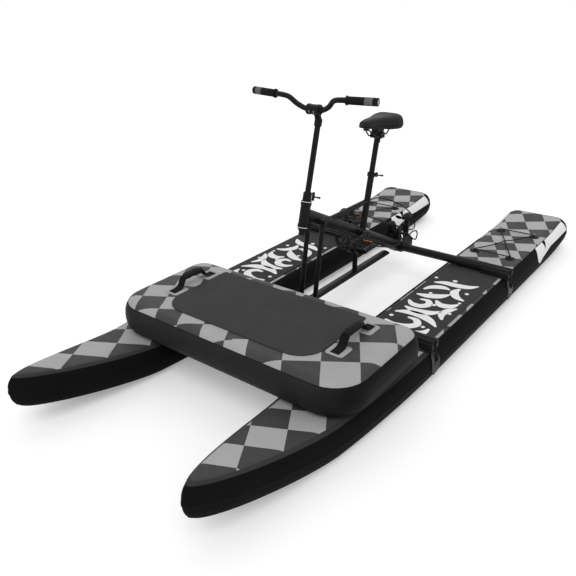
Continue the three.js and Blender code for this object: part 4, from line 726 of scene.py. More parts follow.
def levels_of(rounding, thickness, bulge, margin_turn, print_turn, steps=9, wall=5):
    """Levels from below to above: how far in, how high, and what the strip above each shows."""
    levels = []
    for i in range(steps):
        turn = math.pi / 2 * i / steps
        kind = BELOW if i < 3 else SIDE
        levels.append((rounding * (1 - math.sin(turn)), rounding * (1 - math.cos(turn)), kind))
    for i in range(wall):
        share = i / wall
        height = rounding + (thickness - 2 * rounding) * share
        levels.append((-bulge * math.sin(math.pi * share), height, SIDE))
    for i in range(steps + 1):
        turn = math.pi / 2 * i / steps
        degrees = math.degrees(turn)
        kind = TOP if degrees >= print_turn else MARGIN if degrees >= margin_turn else SIDE
        levels.append((rounding * (1 - math.cos(turn)), thickness - rounding * (1 - math.sin(turn)), kind))
    return levels


def no_lift(y):
    return 0.0


def around(half_at, inset, centre, z, lift):
    """A whole outline at a height, and how many points its half has."""
    side = half_at(inset)
    pairs = side + [(-x, y) for x, y in reversed(side) if x > 1e-9]
    return [vec(centre + x, y, z + lift(y)) for x, y in pairs], len(side)


def inflated(half_at, levels, centre, base, lift):
    """Verts, faces and a pick for each face of a body with rounded edges."""
    verts, faces, picks = [], [], []
    count = half = 0
    for inset, z, _ in levels:
        ring, half = around(half_at, inset, centre, base + z, lift)
        count = len(ring)
        verts += ring
    for r in range(len(levels) - 1):
        for i in range(count):
            j = (i + 1) % count
            faces.append((r * count + i, r * count + j, (r + 1) * count + j, (r + 1) * count + i))
            picks.append(levels[r][2])
    pointed = count < 2 * half
    for base_index, pick in (((len(levels) - 1) * count, TOP), (0, BELOW)):
        for k in range(half - 1):
            a = (count - k) % count if pointed else count - 1 - k
            b = (count - k - 1) % count if pointed else count - 2 - k
            quad = (base_index + k, base_index + k + 1, base_index + b, base_index + a)
            faces.append(quad[:3] if k == 0 and pointed else quad)
            picks.append(pick)
    return verts, faces, picks


def edge_level(rounding, thickness, degrees):
    """How far in and how high a seam lies on the upper rounding; below 0 it is on the lower one."""
    turn = math.radians(abs(degrees))
    inset, drop = rounding * (1 - math.cos(turn)), rounding * (1 - math.sin(turn))
    return (inset, thickness - drop) if degrees > 0 else (inset, drop)


def make_hull(side, name):
    centre = side * HULL_CENTRE
    levels = levels_of(HULL_ROUND, HULL_THICK, 3.0, SEAM_TURN, PRINT_TURN)
    verts, faces, picks = inflated(hull_half, levels, centre, 0, hull_lift)
    for i, face in enumerate(faces):
        if picks[i] == MARGIN and verts[face[0]][1] > BOW_PRINT_END:
            picks[i] = SIDE
    piece(f"hull_{name}", verts, faces, f"hull_{name}", "craft", "hull_fabric",
          replaced=[f"pontoon_{name}"], sharp=80, extra=("side", "bottom", "margin"), picks=picks)
    edges = [edge_level(HULL_ROUND, HULL_THICK, turn) for turn in (LOW_SEAM_TURN, SEAM_TURN, PRINT_TURN)]
    low, fore, aft = [around(hull_half, inset, centre, z, hull_lift)[0] for inset, z in edges]
    upper = [a if a[1] < BOW_PRINT_END else b for a, b in zip(fore, aft)]
    seams = Build().add_all(sweep(line, SEAM_WIRE, SEAM_SIDES, closed=True) for line in (low, upper))
    seams.make(f"hull_seams_{name}", "tape", "craft", "hull_fabric", sharp=80)


for side, name in SIDES:
    make_hull(side, name)


# Deck pads, with white brush strokes of this part's own design.
DECK_Z, FOAM_THICK = 150.3, 5
DECK_PAD_TOP = DECK_Z + FOAM_THICK
DECK_PAD_HALF, DECK_PAD_FRONT, DECK_PAD_BACK, DECK_PAD_CORNER = 138, -372, 561, 18
PRINT_THICK, PRINT_SUNK = 0.7, 0.3


def sheet_solid(outline, z0, z1, ease=1.2):
    """A flat sheet with an eased upper edge."""
    middle = np.mean(np.array(outline), axis=0)

    def inward(at, centre, inset):
        return at - math.copysign(min(inset, abs(at - centre)), at - centre)

    def ring(inset, z):
        return [vec(inward(x, middle[0], inset), inward(y, middle[1], inset), z) for x, y in outline]

    return skin([ring(0, z0), ring(0, z1 - ease), ring(ease * 0.35, z1 - ease * 0.35), ring(ease, z1)])


def stroke(points, widths, z):
    """A brush stroke that lies flat: a smooth line with its own width at each point."""
    line = smooth_path([(x, y, w) for (x, y), w in zip(points, widths)], 7)
    ways = ways_of([p * vec(1, 1, 0) for p in line])
    low, high = Z * z, Z * (z + PRINT_THICK)
    rings = []
    for p, way in zip(line, ways):
        off = vec(-way[1], way[0], 0) * max(p[2] * STROKE_SCALE, 1.5) / 2
        flat = p * vec(1, 1, 0)
        a, b = flat + off, flat - off
        rings.append([a + low, a + high, b + high, b + low])
    return skin(rings)


def dot(x, y, radius, z, sides=20):
    low = oval(vec(x, y, z), X, Y, radius, radius, sides)
    return skin([low, [p + Z * PRINT_THICK for p in low]])


STROKE_SCALE = 1.35
STROKES = [
    ([(-104, -330), (-40, -352), (34, -336), (96, -290)], [10, 30, 34, 8]),
    ([(-96, -268), (-30, -286), (40, -262), (84, -226), (92, -184)], [8, 30, 36, 24, 8]),
    ([(-108, -212), (-56, -232), (4, -214), (30, -176), (8, -142), (-34, -138)], [8, 26, 30, 26, 22, 8]),
    ([(-110, -120), (-60, -96), (0, -92), (60, -112), (108, -150)], [8, 28, 34, 28, 6]),
    ([(-96, -50), (-36, -64), (30, -46), (66, -4)], [8, 32, 30, 6]),
    ([(100, -76), (78, -30), (88, 22), (112, 60)], [8, 24, 24, 6]),
    ([(-112, 18), (-78, -12), (-34, -8), (-14, 26), (-34, 58), (-72, 54)], [8, 24, 28, 26, 20, 8]),
    ([(-4, 84), (36, 52), (76, 64), (100, 104)], [8, 30, 28, 6]),
    ([(-112, 96), (-62, 104), (-10, 132), (24, 176)], [8, 30, 32, 6]),
    ([(104, 150), (60, 168), (30, 212), (36, 262)], [8, 26, 30, 8]),
    ([(-108, 160), (-84, 204), (-40, 228), (2, 224)], [8, 26, 28, 6]),
    ([(-100, 262), (-54, 284), (4, 288), (62, 302), (100, 338)], [8, 28, 32, 28, 6]),
]
DOTS = [(84, -350, 12), (-104, -164, 10), (62, -182, 9), (104, -4, 9), (8, 34, 11), (98, 118, 8),
        (-60, 140, 9), (86, 228, 10), (-116, 318, 9), (-20, 330, 12)]


def make_deck_pad(side, name):
    centre = side * HULL_CENTRE
    outline = rounded_outline(
        centre - DECK_PAD_HALF, centre + DECK_PAD_HALF, DECK_PAD_FRONT, DECK_PAD_BACK,
        DECK_PAD_CORNER, DECK_PAD_CORNER)
    pad = Build().add(sheet_solid(outline, DECK_Z, DECK_PAD_TOP)).make(
        f"deck_pad_sheet_{name}", "deck_foam", "craft", "foam", replaced=[f"deck_pad_{name}"])
    print_z = DECK_PAD_TOP - PRINT_SUNK
    print_on = Build()
    for points, widths in STROKES:
        print_on.add(stroke([(centre + side * x, y) for x, y in points], widths, print_z))
    print_on.add_all(dot(centre + side * x, y, radius, print_z) for x, y, radius in DOTS)
    print_on.make(f"deck_motif_{name}", "motif", "craft", "foam")


for side, name in SIDES:
    make_deck_pad(side, name)


# Front platform
PLATFORM_TOP = DECK_Z + PLATFORM_THICK
PLATFORM_PRINT_TURN = 45.0
PAD_Z, PAD_HALF, PAD_IN_FRONT, PAD_IN_BACK = PLATFORM_TOP + 0.3, 386, 97, 75
PAD_FRONT_CORNER, PAD_BACK_CORNER = 110, 12


def make_platform():
    levels = levels_of(PLATFORM_ROUND, PLATFORM_THICK, 2.0, PLATFORM_PRINT_TURN, PLATFORM_PRINT_TURN, 12, 5)
    verts, faces, picks = inflated(platform_half, levels, PLATFORM_OFFSET, DECK_Z, no_lift)
    piece("platform_body", verts, faces, "platform", "craft", "platform_fabric",
          replaced=["platform"], sharp=80, extra=("platform_side", "bottom"), picks=picks)
    seams = Build()
    for turn in (PLATFORM_PRINT_TURN, -PLATFORM_PRINT_TURN):
        inset, z = edge_level(PLATFORM_ROUND, PLATFORM_THICK, turn)
        line = around(platform_half, inset, PLATFORM_OFFSET, DECK_Z + z, no_lift)[0]
        seams.add(sweep(line, SEAM_WIRE, SEAM_SIDES, closed=True))
    seams.make("platform_seams", "tape", "craft", "platform_fabric", sharp=80)
    outline = rounded_outline(
        PLATFORM_OFFSET - PAD_HALF, PLATFORM_OFFSET + PAD_HALF, PLATFORM_FRONT + PAD_IN_FRONT,
        PLATFORM_BACK - PAD_IN_BACK, PAD_FRONT_CORNER, PAD_BACK_CORNER, 10)
    pad = Build().add(sheet_solid(outline, PAD_Z, PAD_Z + FOAM_THICK)).make(
        "platform_pad_sheet", "foam", "craft", "foam", replaced=["platform_pad"])


make_platform()


# Carry handles
HANDLE_X = PLATFORM_WIDTH / 2 - 185
HANDLE_END, HANDLE_STITCHES = 99, (96, 118)
HANDLE_Y = PLATFORM_FRONT + 229 + HANDLE_END
HANDLE_PATCH_WIDE, HANDLE_PATCH_LONG, HANDLE_PATCH_CORNER = 39, 41, 14
HANDLE_ROUTE = ((128, 4), (96, 5), (76, 12), (54, 44), (0, 50))
HANDLE_STRAP_WIDE, HANDLE_STRAP_THICK, STITCH_HALF, STITCH_WIDE, STITCH_THICK = 38, 3, 16, 2.2, 1.0
GRIP_HALF, GRIP_WIDE, GRIP_DEEP, GRIP_Z = 58, 19, 14, 45.5


def make_handle(side, name):
    x = PLATFORM_OFFSET + side * HANDLE_X
    patches = Build()
    for end in (-1, 1):
        y = HANDLE_Y + end * HANDLE_END
        outline = rounded_outline(
            x - HANDLE_PATCH_WIDE, x + HANDLE_PATCH_WIDE, y - HANDLE_PATCH_LONG, y + HANDLE_PATCH_LONG,
            HANDLE_PATCH_CORNER, HANDLE_PATCH_CORNER)
        patches.add(sheet_solid(outline, PAD_Z, PAD_Z + 2.5, 0.8))
    patches.make(f"handle_patches_{name}", "pale_patch", "craft", "webbing")
    half = [vec(0, -along, up) for along, up in HANDLE_ROUTE]
    foot = vec(x, HANDLE_Y, PAD_Z)
    route = smooth_path([foot + p for p in half] + [foot + p * vec(1, -1, 1) for p in half[-2::-1]], 6)
    strap = Build().add(band(route, X, HANDLE_STRAP_WIDE, HANDLE_STRAP_THICK))
    for end in (-1, 1):
        for out in HANDLE_STITCHES:
            at = foot + Y * end * out + Z * 6
            strap.add(band([at - X * STITCH_HALF, at + X * STITCH_HALF], Y, STITCH_WIDE, STITCH_THICK))
    strap.make(f"handle_strap_{name}", "webbing", "craft", "webbing", replaced=[f"handle_{name}"])
    rings = []
    for i in range(15):
        share = i / 14
        ease = min(1.0, 0.72 + 1.4 * min(share, 1 - share))
        bow = 4 * (1 - (2 * share - 1) ** 2)
        middle = foot + vec(0, (2 * share - 1) * GRIP_HALF, GRIP_Z + bow)
        rings.append(oval(middle, X, Z, GRIP_WIDE * ease, GRIP_DEEP * ease, 24))
    grip = Build().add(skin(rings)).make(
        f"handle_grip_{name}", "rubber", "craft", "webbing", bevel=2)


for side, name in SIDES:
    make_handle(side, name)


# Frame lines
BEAM_Z = 182.4
BEAM_HALF, BEAM_RADIUS, BEAM_WALL = 638, 22, 2.5
MAIN_WIDE, MAIN_DEEP, HEAD_RADIUS, HEAD_BORE, HEAD_LENGTH = 21, 29, 22, 17, 100
SEAT_TUBE_RADIUS, SEAT_TUBE_BORE, STRUT_RADIUS = 15.9, 13.95, 12.5
SLEEVE_BORE, SLEEVE_RADIUS, REAR_SLEEVE_RADIUS, FRONT_SLEEVE_HALF = 22.3, 28.5, 30, 25
LEG_RADIUS, LEG_LUG_RADIUS, LEG_LUG_BORE, LEG_X = 11, 13, 5.3, 39
RAIL_WIDE, RAIL_DEEP, RAIL_POST_RADIUS = 25, 11, 13
FRONT_BEAM_Y, REAR_BEAM_Y = -320, 525
STEER_TURN, SEAT_TURN = math.radians(15.2), math.radians(13.9)
STEER_WAY = vec(0, math.sin(STEER_TURN), math.cos(STEER_TURN))
SEAT_WAY = vec(0, math.sin(SEAT_TURN), math.cos(SEAT_TURN))
HEAD_LOW = vec(0, -350, 564.4)
HEAD_POINT = HEAD_LOW + STEER_WAY * 51
REAR_POINT = vec(0, REAR_BEAM_Y, BEAM_Z)
SLOPE = (HEAD_POINT[2] - BEAM_Z) / (HEAD_POINT[1] - REAR_BEAM_Y)
MAIN_WAY = unit(REAR_POINT - HEAD_POINT)
MAIN_DOWN = vec(0, MAIN_WAY[2], -MAIN_WAY[1])


def on_main(y):
    return vec(0, y, BEAM_Z + (y - REAR_BEAM_Y) * SLOPE)


BB = on_main(86)
SEAT_FOOT = on_main(145)
SEAT_TOP = SEAT_FOOT + SEAT_WAY * 309
JACK = vec(0, 565, BEAM_Z + 62)
PIVOT = vec(0, 625, BEAM_Z - 32)
LEG_TOP = on_main(-254) - Z * 12
STRUT_Z = BEAM_Z + 352
STRUT_FRONT = vec(0, REAR_BEAM_Y + (STRUT_Z - BEAM_Z) / SLOPE, STRUT_Z)
STRUT_REAR = SEAT_FOOT + SEAT_WAY * ((STRUT_Z - SEAT_FOOT[2]) / SEAT_WAY[2])
CLEAT = SEAT_FOOT + SEAT_WAY * ((BEAM_Z + 348 - SEAT_FOOT[2]) / SEAT_WAY[2])
CLEAT_TIP = vec(0, CLEAT[1] + SEAT_TUBE_RADIUS + 8, CLEAT[2])
CABLE_DROP, CABLE_X = 38, 18
UNDER_HEAD = HEAD_POINT + (REAR_POINT - HEAD_POINT) * 0.055
CABLE_STOP = UNDER_HEAD + MAIN_DOWN * CABLE_DROP + X * CABLE_X


def ring_tube(a, b, outer, inner, sides=40):
    """An open tube with a wall."""
    way = unit(b - a)
    side, up = across_of(way)
    length = np.linalg.norm(b - a)
    ends = [(0, inner), (0, outer), (length, outer), (length, inner)]
    return skin([oval(a + way * along, side, up, r, r, sides) for along, r in ends], closed=True)


def weld(a, way, radius, surface, start, reach, wire=2.6, sides=40, flat=None):
    """A bead where a tube's side meets a surface: surface(point) is negative inside it."""
    side, up = across_of(unit(way))
    flat = radius if flat is None else flat
    line = []
    for base in oval(a, side, up, radius, flat, sides):
        low, high = start, start + reach
        if surface(base + way * low) * surface(base + way * high) > 0:
            continue
        for _ in range(26):
            middle = (low + high) / 2
            if surface(base + way * low) * surface(base + way * middle) <= 0:
                high = middle
            else:
                low = middle
        line.append(base + way * low)
    if len(line) < sides:
        return None
    ripple = [wire * (1 + 0.16 * math.sin(7 * k)) for k in range(sides)]
    return sweep(line, ripple, 8, closed=True)


def about_line(a, way, radius, flat=None):
    """How far outside a round or oval bar a point is, as a share of its radius."""
    way = unit(way)
    side, up = across_of(way)
    flat = radius if flat is None else flat

    def outside(p):
        d = p - a
        return (d.dot(side) / radius) ** 2 + (d.dot(up) / flat) ** 2 - 1

    return outside


def add_weld(build, *args, **settings):
    bead = weld(*args, **settings)
    if bead:
        build.add(bead)


def make_beams():
    for name, y in (("front", FRONT_BEAM_Y), ("rear", REAR_BEAM_Y)):
        a, b = vec(-BEAM_HALF, y, BEAM_Z), vec(BEAM_HALF, y, BEAM_Z)
        Build().add(ring_tube(a, b, BEAM_RADIUS, BEAM_RADIUS - BEAM_WALL)).make(
            f"{name}_beam_tube", "beam", "craft", "beam", replaced=[f"{name}_cross_beam"])


make_beams()
MAIN = about_line(HEAD_POINT, MAIN_WAY, MAIN_WIDE, MAIN_DEEP)


def make_main_frame():
    build = Build().add_all([
        rod(HEAD_POINT, REAR_POINT, MAIN_WIDE, 44, flat=MAIN_DEEP),
        ring_tube(HEAD_LOW, HEAD_LOW + STEER_WAY * HEAD_LENGTH, HEAD_RADIUS, HEAD_BORE)])
    for at in (0, HEAD_LENGTH - 8):
        build.add(ring_tube(HEAD_LOW + STEER_WAY * at, HEAD_LOW + STEER_WAY * (at + 8), 24, 17.2))
    build.add_all([
        ring_tube(SEAT_FOOT, SEAT_TOP, SEAT_TUBE_RADIUS, SEAT_TUBE_BORE),
        rod(STRUT_FRONT, STRUT_REAR, STRUT_RADIUS),
        ring_tube(REAR_POINT - X * 26, REAR_POINT + X * 26, REAR_SLEEVE_RADIUS, SLEEVE_BORE),
        ring_tube(BB - X * 34, BB + X * 34, 21, 17),
        ring_tube(LEG_TOP - X * 27.7, LEG_TOP + X * 27.7, LEG_LUG_RADIUS, LEG_LUG_BORE),
        lathe([(0, 5), (17, 5), (18, 6), (23, 6), (24, 5)], CLEAT, CLEAT_TIP - CLEAT, 20),
        lathe([(0, 4.5), (1, 6), (15, 6), (16, 5)], CABLE_STOP - MAIN_WAY * 16, MAIN_WAY, 20),
        rod(CABLE_STOP - MAIN_WAY * 8, UNDER_HEAD - MAIN_WAY * 8, 4.2, 12)])
    head = about_line(HEAD_LOW, STEER_WAY, HEAD_RADIUS)
    seat_tube = about_line(SEAT_FOOT, SEAT_WAY, SEAT_TUBE_RADIUS)
    rear_hub = about_line(REAR_POINT, X, REAR_SLEEVE_RADIUS)
    strut_way = unit(STRUT_REAR - STRUT_FRONT)
    add_weld(build, HEAD_POINT, MAIN_WAY, MAIN_WIDE, head, 0, reach=70, flat=MAIN_DEEP, wire=3.2)
    add_weld(build, SEAT_FOOT, SEAT_WAY, SEAT_TUBE_RADIUS, MAIN, 0, reach=90)
    add_weld(build, STRUT_FRONT, strut_way, STRUT_RADIUS, MAIN, 0, reach=90)
    add_weld(build, STRUT_REAR, -strut_way, STRUT_RADIUS, seat_tube, 0, reach=60)
    add_weld(build, REAR_POINT, -MAIN_WAY, MAIN_WIDE, rear_hub, 0, reach=70, flat=MAIN_DEEP, wire=3.2)
    build.make("main_frame_tubes", "frame", "craft", "frame", replaced=["main_frame"])


make_main_frame()


def make_front_legs():
    for side, name in SIDES:
        foot = vec(side * LEG_X, FRONT_BEAM_Y, BEAM_Z)
        top = vec(side * LEG_X, LEG_TOP[1], LEG_TOP[2])
        way = unit(top - foot)
        build = Build().add_all([
            rod(foot + way * 24, top - way * 6, LEG_RADIUS, 28),
            ring_tube(top - X * 11, top + X * 11, LEG_LUG_RADIUS, LEG_LUG_BORE),
            ring_tube(foot - X * 13, foot + X * 13, SLEEVE_RADIUS, SLEEVE_BORE)])
        add_weld(build, foot, way, LEG_RADIUS, about_line(foot, X, SLEEVE_RADIUS), 0, reach=60, wire=2.2)
        add_weld(build, top, -way, LEG_RADIUS, about_line(top, X, LEG_LUG_RADIUS), 0, reach=30, wire=2.0)
        build.make(f"front_leg_tube_{name}", "frame", "craft", "frame", replaced=[f"front_leg_{name}"])


make_front_legs()


def make_rail():
    rail_z = BEAM_Z + 2
    beam = vec(0, FRONT_BEAM_Y, BEAM_Z)
    front, rear = vec(0, FRONT_BEAM_Y + 22.4, rail_z), vec(0, 400, rail_z)
    build = Build().add_all([
        rod(front, rear, RAIL_WIDE, 40, flat=RAIL_DEEP),
        ring_tube(beam - X * FRONT_SLEEVE_HALF, beam + X * FRONT_SLEEVE_HALF, SLEEVE_RADIUS, SLEEVE_BORE)])
    add_weld(build, front, Y, RAIL_WIDE, about_line(beam, X, SLEEVE_RADIUS), -10, reach=60, wire=2.2,
             flat=RAIL_DEEP)
    build.make("bottom_rail_tube", "frame", "craft", "frame", replaced=["bottom_rail"])
    foot, top = vec(0, 86, rail_z + 10), vec(0, 86, BB[2] - 19)
    post = Build().add_all([
        rod(foot, top, RAIL_POST_RADIUS, 32),
        lathe([(0, 16), (1.5, 17), (3, 15.4), (4, 13)], foot + Z * 0.6, Z, 32)])
    post.make("rail_post_tube", "frame", "craft", "frame", replaced=["rail_post"])


make_rail()


# Lashing rings on the hulls, each on a round patch
RING_INNER, RING_OUTER = 108, 98
RING_FORE, RING_AFT = REAR_BEAM_Y + 247, REAR_BEAM_Y + 247 + 393
RING_RADIUS, RING_WIRE, RING_PATCH, RING_PATCH_RADIUS = 9, 2.2, 3, 27
BUNGEE_RADIUS, BUNGEE_BEND = 3, 16
# Where the cord crosses itself: how far it rises, over what reach, and on which share of its length.
CROSS_RISE, CROSS_REACH, CROSS_FIRST, CROSS_LAST = 8.4, 34, 0.2, 0.75
BUNGEE_Z = HULL_THICK + RING_PATCH + RING_RADIUS


def bungee_corners(side):
    centre = side * HULL_CENTRE
    return [vec(centre + x, y, BUNGEE_Z) for y in (RING_AFT, RING_FORE) for x in (-RING_INNER, RING_OUTER)]


def make_rings(side, name):
    corners = bungee_corners(side)
    patches, tabs, rings = Build(), Build(), Build()
    for i, corner in enumerate(corners):
        inward, onward = unit(corners[(i + 3) % 4] - corner), unit(corners[(i + 1) % 4] - corner)
        bisector = inward + onward
        slack = RING_RADIUS - RING_WIRE - BUNGEE_RADIUS - 0.6
        middle = corner + bisector * BUNGEE_BEND / 4 - unit(bisector) * slack
        along = unit(onward - inward)
        foot = vec(middle[0], middle[1], HULL_THICK)
        edge = RING_PATCH_RADIUS
        patches.add(lathe([(-1, edge), (2, edge), (2.7, edge - 0.6), (3, edge - 1.6)], foot, Z, 44))
        patches.add(sweep(oval(foot + Z * 3.0, X, Y, edge - 4, edge - 4, 40), 0.5, 6, closed=True))
        tabs.add(band(smooth_path([
            foot + along * d + Z * z
            for d, z in ((-15, 3.5), (-7, 3.7), (-3.4, 6.2), (0, 7.2), (3.4, 6.2), (7, 3.7), (15, 3.5))
        ], 4), np.cross(Z, along), 12, 1.1))
        rings.add(torus(middle, along, RING_RADIUS, RING_WIRE, 32, 10))
    patches.make(f"ring_patches_{name}", "dark_patch", "craft", "hull_fabric")
    tabs.make(f"ring_tabs_{name}", "webbing", "craft", "webbing")
    rings.make(f"lashing_rings_{name}", "steel", "craft", "steel")


# Elastic lashing: one cord through the four rings, whose ends meet in a ferrule.
def make_bungee(side, name):
    corners = bungee_corners(side)
    join = (corners[3] + corners[0]) / 2
    way = unit(corners[0] - corners[3])
    route = even_path(bent([join + way * 0.3, *corners, join - way * 0.3], BUNGEE_BEND, 8), 240)
    lifted = []
    for index, p in enumerate(route):
        over = CROSS_FIRST < index / len(route) < CROSS_LAST
        near = math.exp(-(np.linalg.norm((p - join)[:2]) / CROSS_REACH) ** 2)
        lifted.append(p + Z * (CROSS_RISE * near if over else 0.0))
    ferrule = Build().add(lathe(
        both([(6, 4.5), (7.2, 3.9), (8, 4.5), (11.8, 4.5), (12.4, 4.2), (13, 3.1)]), join, way, 24))
    crimp = ferrule.make(f"bungee_ferrule_{name}", "dark_plastic", "craft", "bungee")
    cord = Build().add(sweep(lifted, BUNGEE_RADIUS, 12)).make(
        f"bungee_cord_{name}", "bungee", "craft", "bungee", replaced=[f"bungee_{name}"], sharp=80)


for side, name in SIDES:
    make_rings(side, name)
    make_bungee(side, name)


# Tie straps: a leaf-shaped patch on the hull's side, a ring, and webbing up to the beam foot.
HULL_SIDE_X = HULL_CENTRE + HULL_WIDTH / 2
TIE_RING_Z, TIE_RING_RADIUS, TIE_RING_WIRE = 92, 16, 2.5
TIE_PATCH_WIDTH, TIE_PATCH_LOW, TIE_PATCH_HIGH, TIE_PATCH_HALF = 70, 36, 137, 50.8
STRAP_X, STRAP_WIDTH, STRAP_THICK = 647.9, 20, 1.8


def make_tie(side, y, name):
    def at(x, z):
        return vec(side * x, y, z)

    path, widths = [], []
    for i in range(25):
        z = TIE_PATCH_LOW + (TIE_PATCH_HIGH - TIE_PATCH_LOW) * i / 24
        off = max(0.0, z - HULL_THICK + HULL_ROUND, HULL_ROUND - z)
        reach = HULL_ROUND + 2.9
        path.append(at(HULL_SIDE_X - HULL_ROUND + math.sqrt(reach ** 2 - off ** 2), z))
        share = (z - (TIE_PATCH_LOW + TIE_PATCH_HIGH) / 2) / TIE_PATCH_HALF
        widths.append(TIE_PATCH_WIDTH * math.sqrt(max(0.02, 1 - share ** 2)))
    patch = Build().add(band(path, Y, widths, 2.4))
    stitch = [p + X * side * 1.4 + Y * sign * (w / 2 - 5) for sign in (-1, 1)
              for p, w in (zip(path, widths) if sign < 0 else zip(path[::-1], widths[::-1]))]
    patch.add(sweep(even_path(stitch[2:-2], 60), 0.6, 6))
    patch.make(f"tie_patch_{name}", "patch", "craft", "patch", replaced=[f"tie_strap_{name}"])
    ring_x = HULL_SIDE_X + 3.9
    ring = Build().add(torus(at(ring_x, TIE_RING_Z), X, TIE_RING_RADIUS, TIE_RING_WIRE, 36, 10))
    ring.make(f"tie_ring_{name}", "steel" if "rear" in name else "dark_metal", "craft", "steel")
    top_z = TIE_RING_Z + TIE_RING_RADIUS
    web = Build().add(band(smooth_path([
        at(652.0, 152), at(654.6, 128), at(ring_x - 3.6, top_z + 2), at(ring_x - 2.2, top_z - 3.0),
        at(ring_x, top_z - 4.2), at(ring_x + 2.9, top_z - 2.4), at(ring_x + 3.2, top_z + 3), at(657.5, 128),
        at(653.2, 150), at(649.0, 166), at(STRAP_X + 0.3, 178), at(STRAP_X + 0.2, 198)],
        6), Y, STRAP_WIDTH, STRAP_THICK))
    web.make(f"tie_webbing_{name}", "webbing", "craft", "patch")


for side, side_name in SIDES:
    for place_name, y in (("front", FRONT_BEAM_Y), ("rear", REAR_BEAM_Y)):
        make_tie(side, y, f"{place_name}_{side_name}")


# Headset, in the steering column's leaning frame
def make_headset():
    body, bright = Build(), Build()
    for face, way in ((0, -1), (HEAD_LENGTH, 1)):
        for build, sides, profile in (
                (body, 44, [(0.3, 22.5), (0.8, 24), (4.0, 24), (4.4, 23.4)]),
                (bright, 44, [(4.2, 22.6), (4.6, 24), (7.6, 24), (8.0, 22.8)]),
                (body, 44, [(7.8, 22), (8.2, 23.2), (11.2, 22.2), (12.0, 20.6)]),
                (body, 30, [(-11.8, 16.6), (0.4, 16.6)])):
            build.add(lathe(profile, Z * face, Z * way, sides))
    body.place(HEAD_LOW, -STEER_TURN).make(
        "headset_cups", "frame", "craft", "frame", replaced=["headset_cup_lower", "headset_cup_upper"])
    bright.place(HEAD_LOW, -STEER_TURN).make("headset_rings", "silver", "craft", "silver")


make_headset()


# Clamps of the steering post and the seat post, each with its lever
CLAMP_LOW, CLAMP_HIGH, SEAT_COLLAR_LOW, SEAT_COLLAR_HIGH = 113, 147, 288, 308
PIN_SIDE, PIN_RADIUS, EYE_RADIUS, EAR = 14, 3, 6.5, 4
LEVER_LINE = ((0, 0, 0), (13, -2, 0), (27, -5, 1), (40, -4.4, 2))


def make_clamp(node, lever, inner, outer, low, high, origin, lean, body, lever_body):
    """A split ring with two ears, a pin between them and a cam lever on the pin."""
    back = outer + EYE_RADIUS + 0.4
    ring = Build().add(ring_tube(Z * low, Z * high, outer, inner, 48))
    ears = hull_round([(PIN_SIDE, back, EYE_RADIUS), (0, outer - EYE_RADIUS, EYE_RADIUS)])
    for z in (low, high - EAR):
        ring.add(prism(ears, Z * z, X, Y, Z * EAR))
    for z in (low + 1.2, high - 2.0):
        ring.add(ring_tube(Z * z, Z * (z + 0.8), outer + 0.5, outer - 1, 48))
    ring.place(origin, -lean).make(f"{node}_ring", "frame", body, "frame", replaced=[node], bevel=0.7)
    foot = vec(PIN_SIDE, back, 0)
    pin = Build().add_all([
        rod(foot + Z * (low - 1), foot + Z * (high + 1), PIN_RADIUS, 20, edge=0.6),
        lathe([(0, 5.2), (2.6, 5.2), (3.4, 4.2)], foot + Z * (high - 0.2), Z, 6)])
    pin.place(origin, -lean).make(f"{node}_pin", "dark_metal", body, "silver")
    eye = (low + EAR + 0.4, high - EAR - 0.4)
    line = smooth_path([foot + Z * (low + high) / 2 + vec(*p) for p in LEVER_LINE], 6)
    wide = [9.5 - 3.0 * math.sin(math.pi * min(1.0, i / 16)) for i in range(len(line))]
    blade = Build().add_all([
        rod(foot + Z * eye[0], foot + Z * eye[1], EYE_RADIUS, 28, edge=0.8), band(line, Z, wide, 4.4)])
    blade.place(origin, -lean).make(
        f"{lever}_blade", "dark_metal", lever_body, "silver", replaced=[lever], bevel=0.6)


make_clamp("post_clamp", "post_clamp_lever", 14.6, 18.8, CLAMP_LOW, CLAMP_HIGH,
           HEAD_LOW, STEER_TURN, "steering", "post_lever")
make_clamp("seat_collar", "seat_collar_lever", 16.2, 20.2, SEAT_COLLAR_LOW, SEAT_COLLAR_HIGH,
           SEAT_FOOT, SEAT_TURN, "craft", "seat_lever")


# Steering post, stem, handlebar and grips
POST_TOP, POST_RADIUS, STEM_REACH, STEM_RISE = 452, 12.5, 42, 36
BAR_HALF, BAR_RISE, BAR_SWEEP, BAR_RADIUS, BAR_END_BACK = 304, 56, 18, 11.1, 13
GRIP_LENGTH = 128
BAR_ACROSS = [0.13, 0.26, 0.37, 0.48, 0.56]
BAR_BACK = [0, 0.55, 1.35, 1.72, 1.72]
BAR_UP = [0, 0.32, 0.82, 0.95, 0.97]


def leaning(origin, lean, y, z):
    return origin + vec(0, y * math.cos(lean) + z * math.sin(lean), z * math.cos(lean) - y * math.sin(lean))


BAR_POINT = leaning(HEAD_LOW, STEER_TURN, -STEM_REACH, POST_TOP + STEM_RISE)


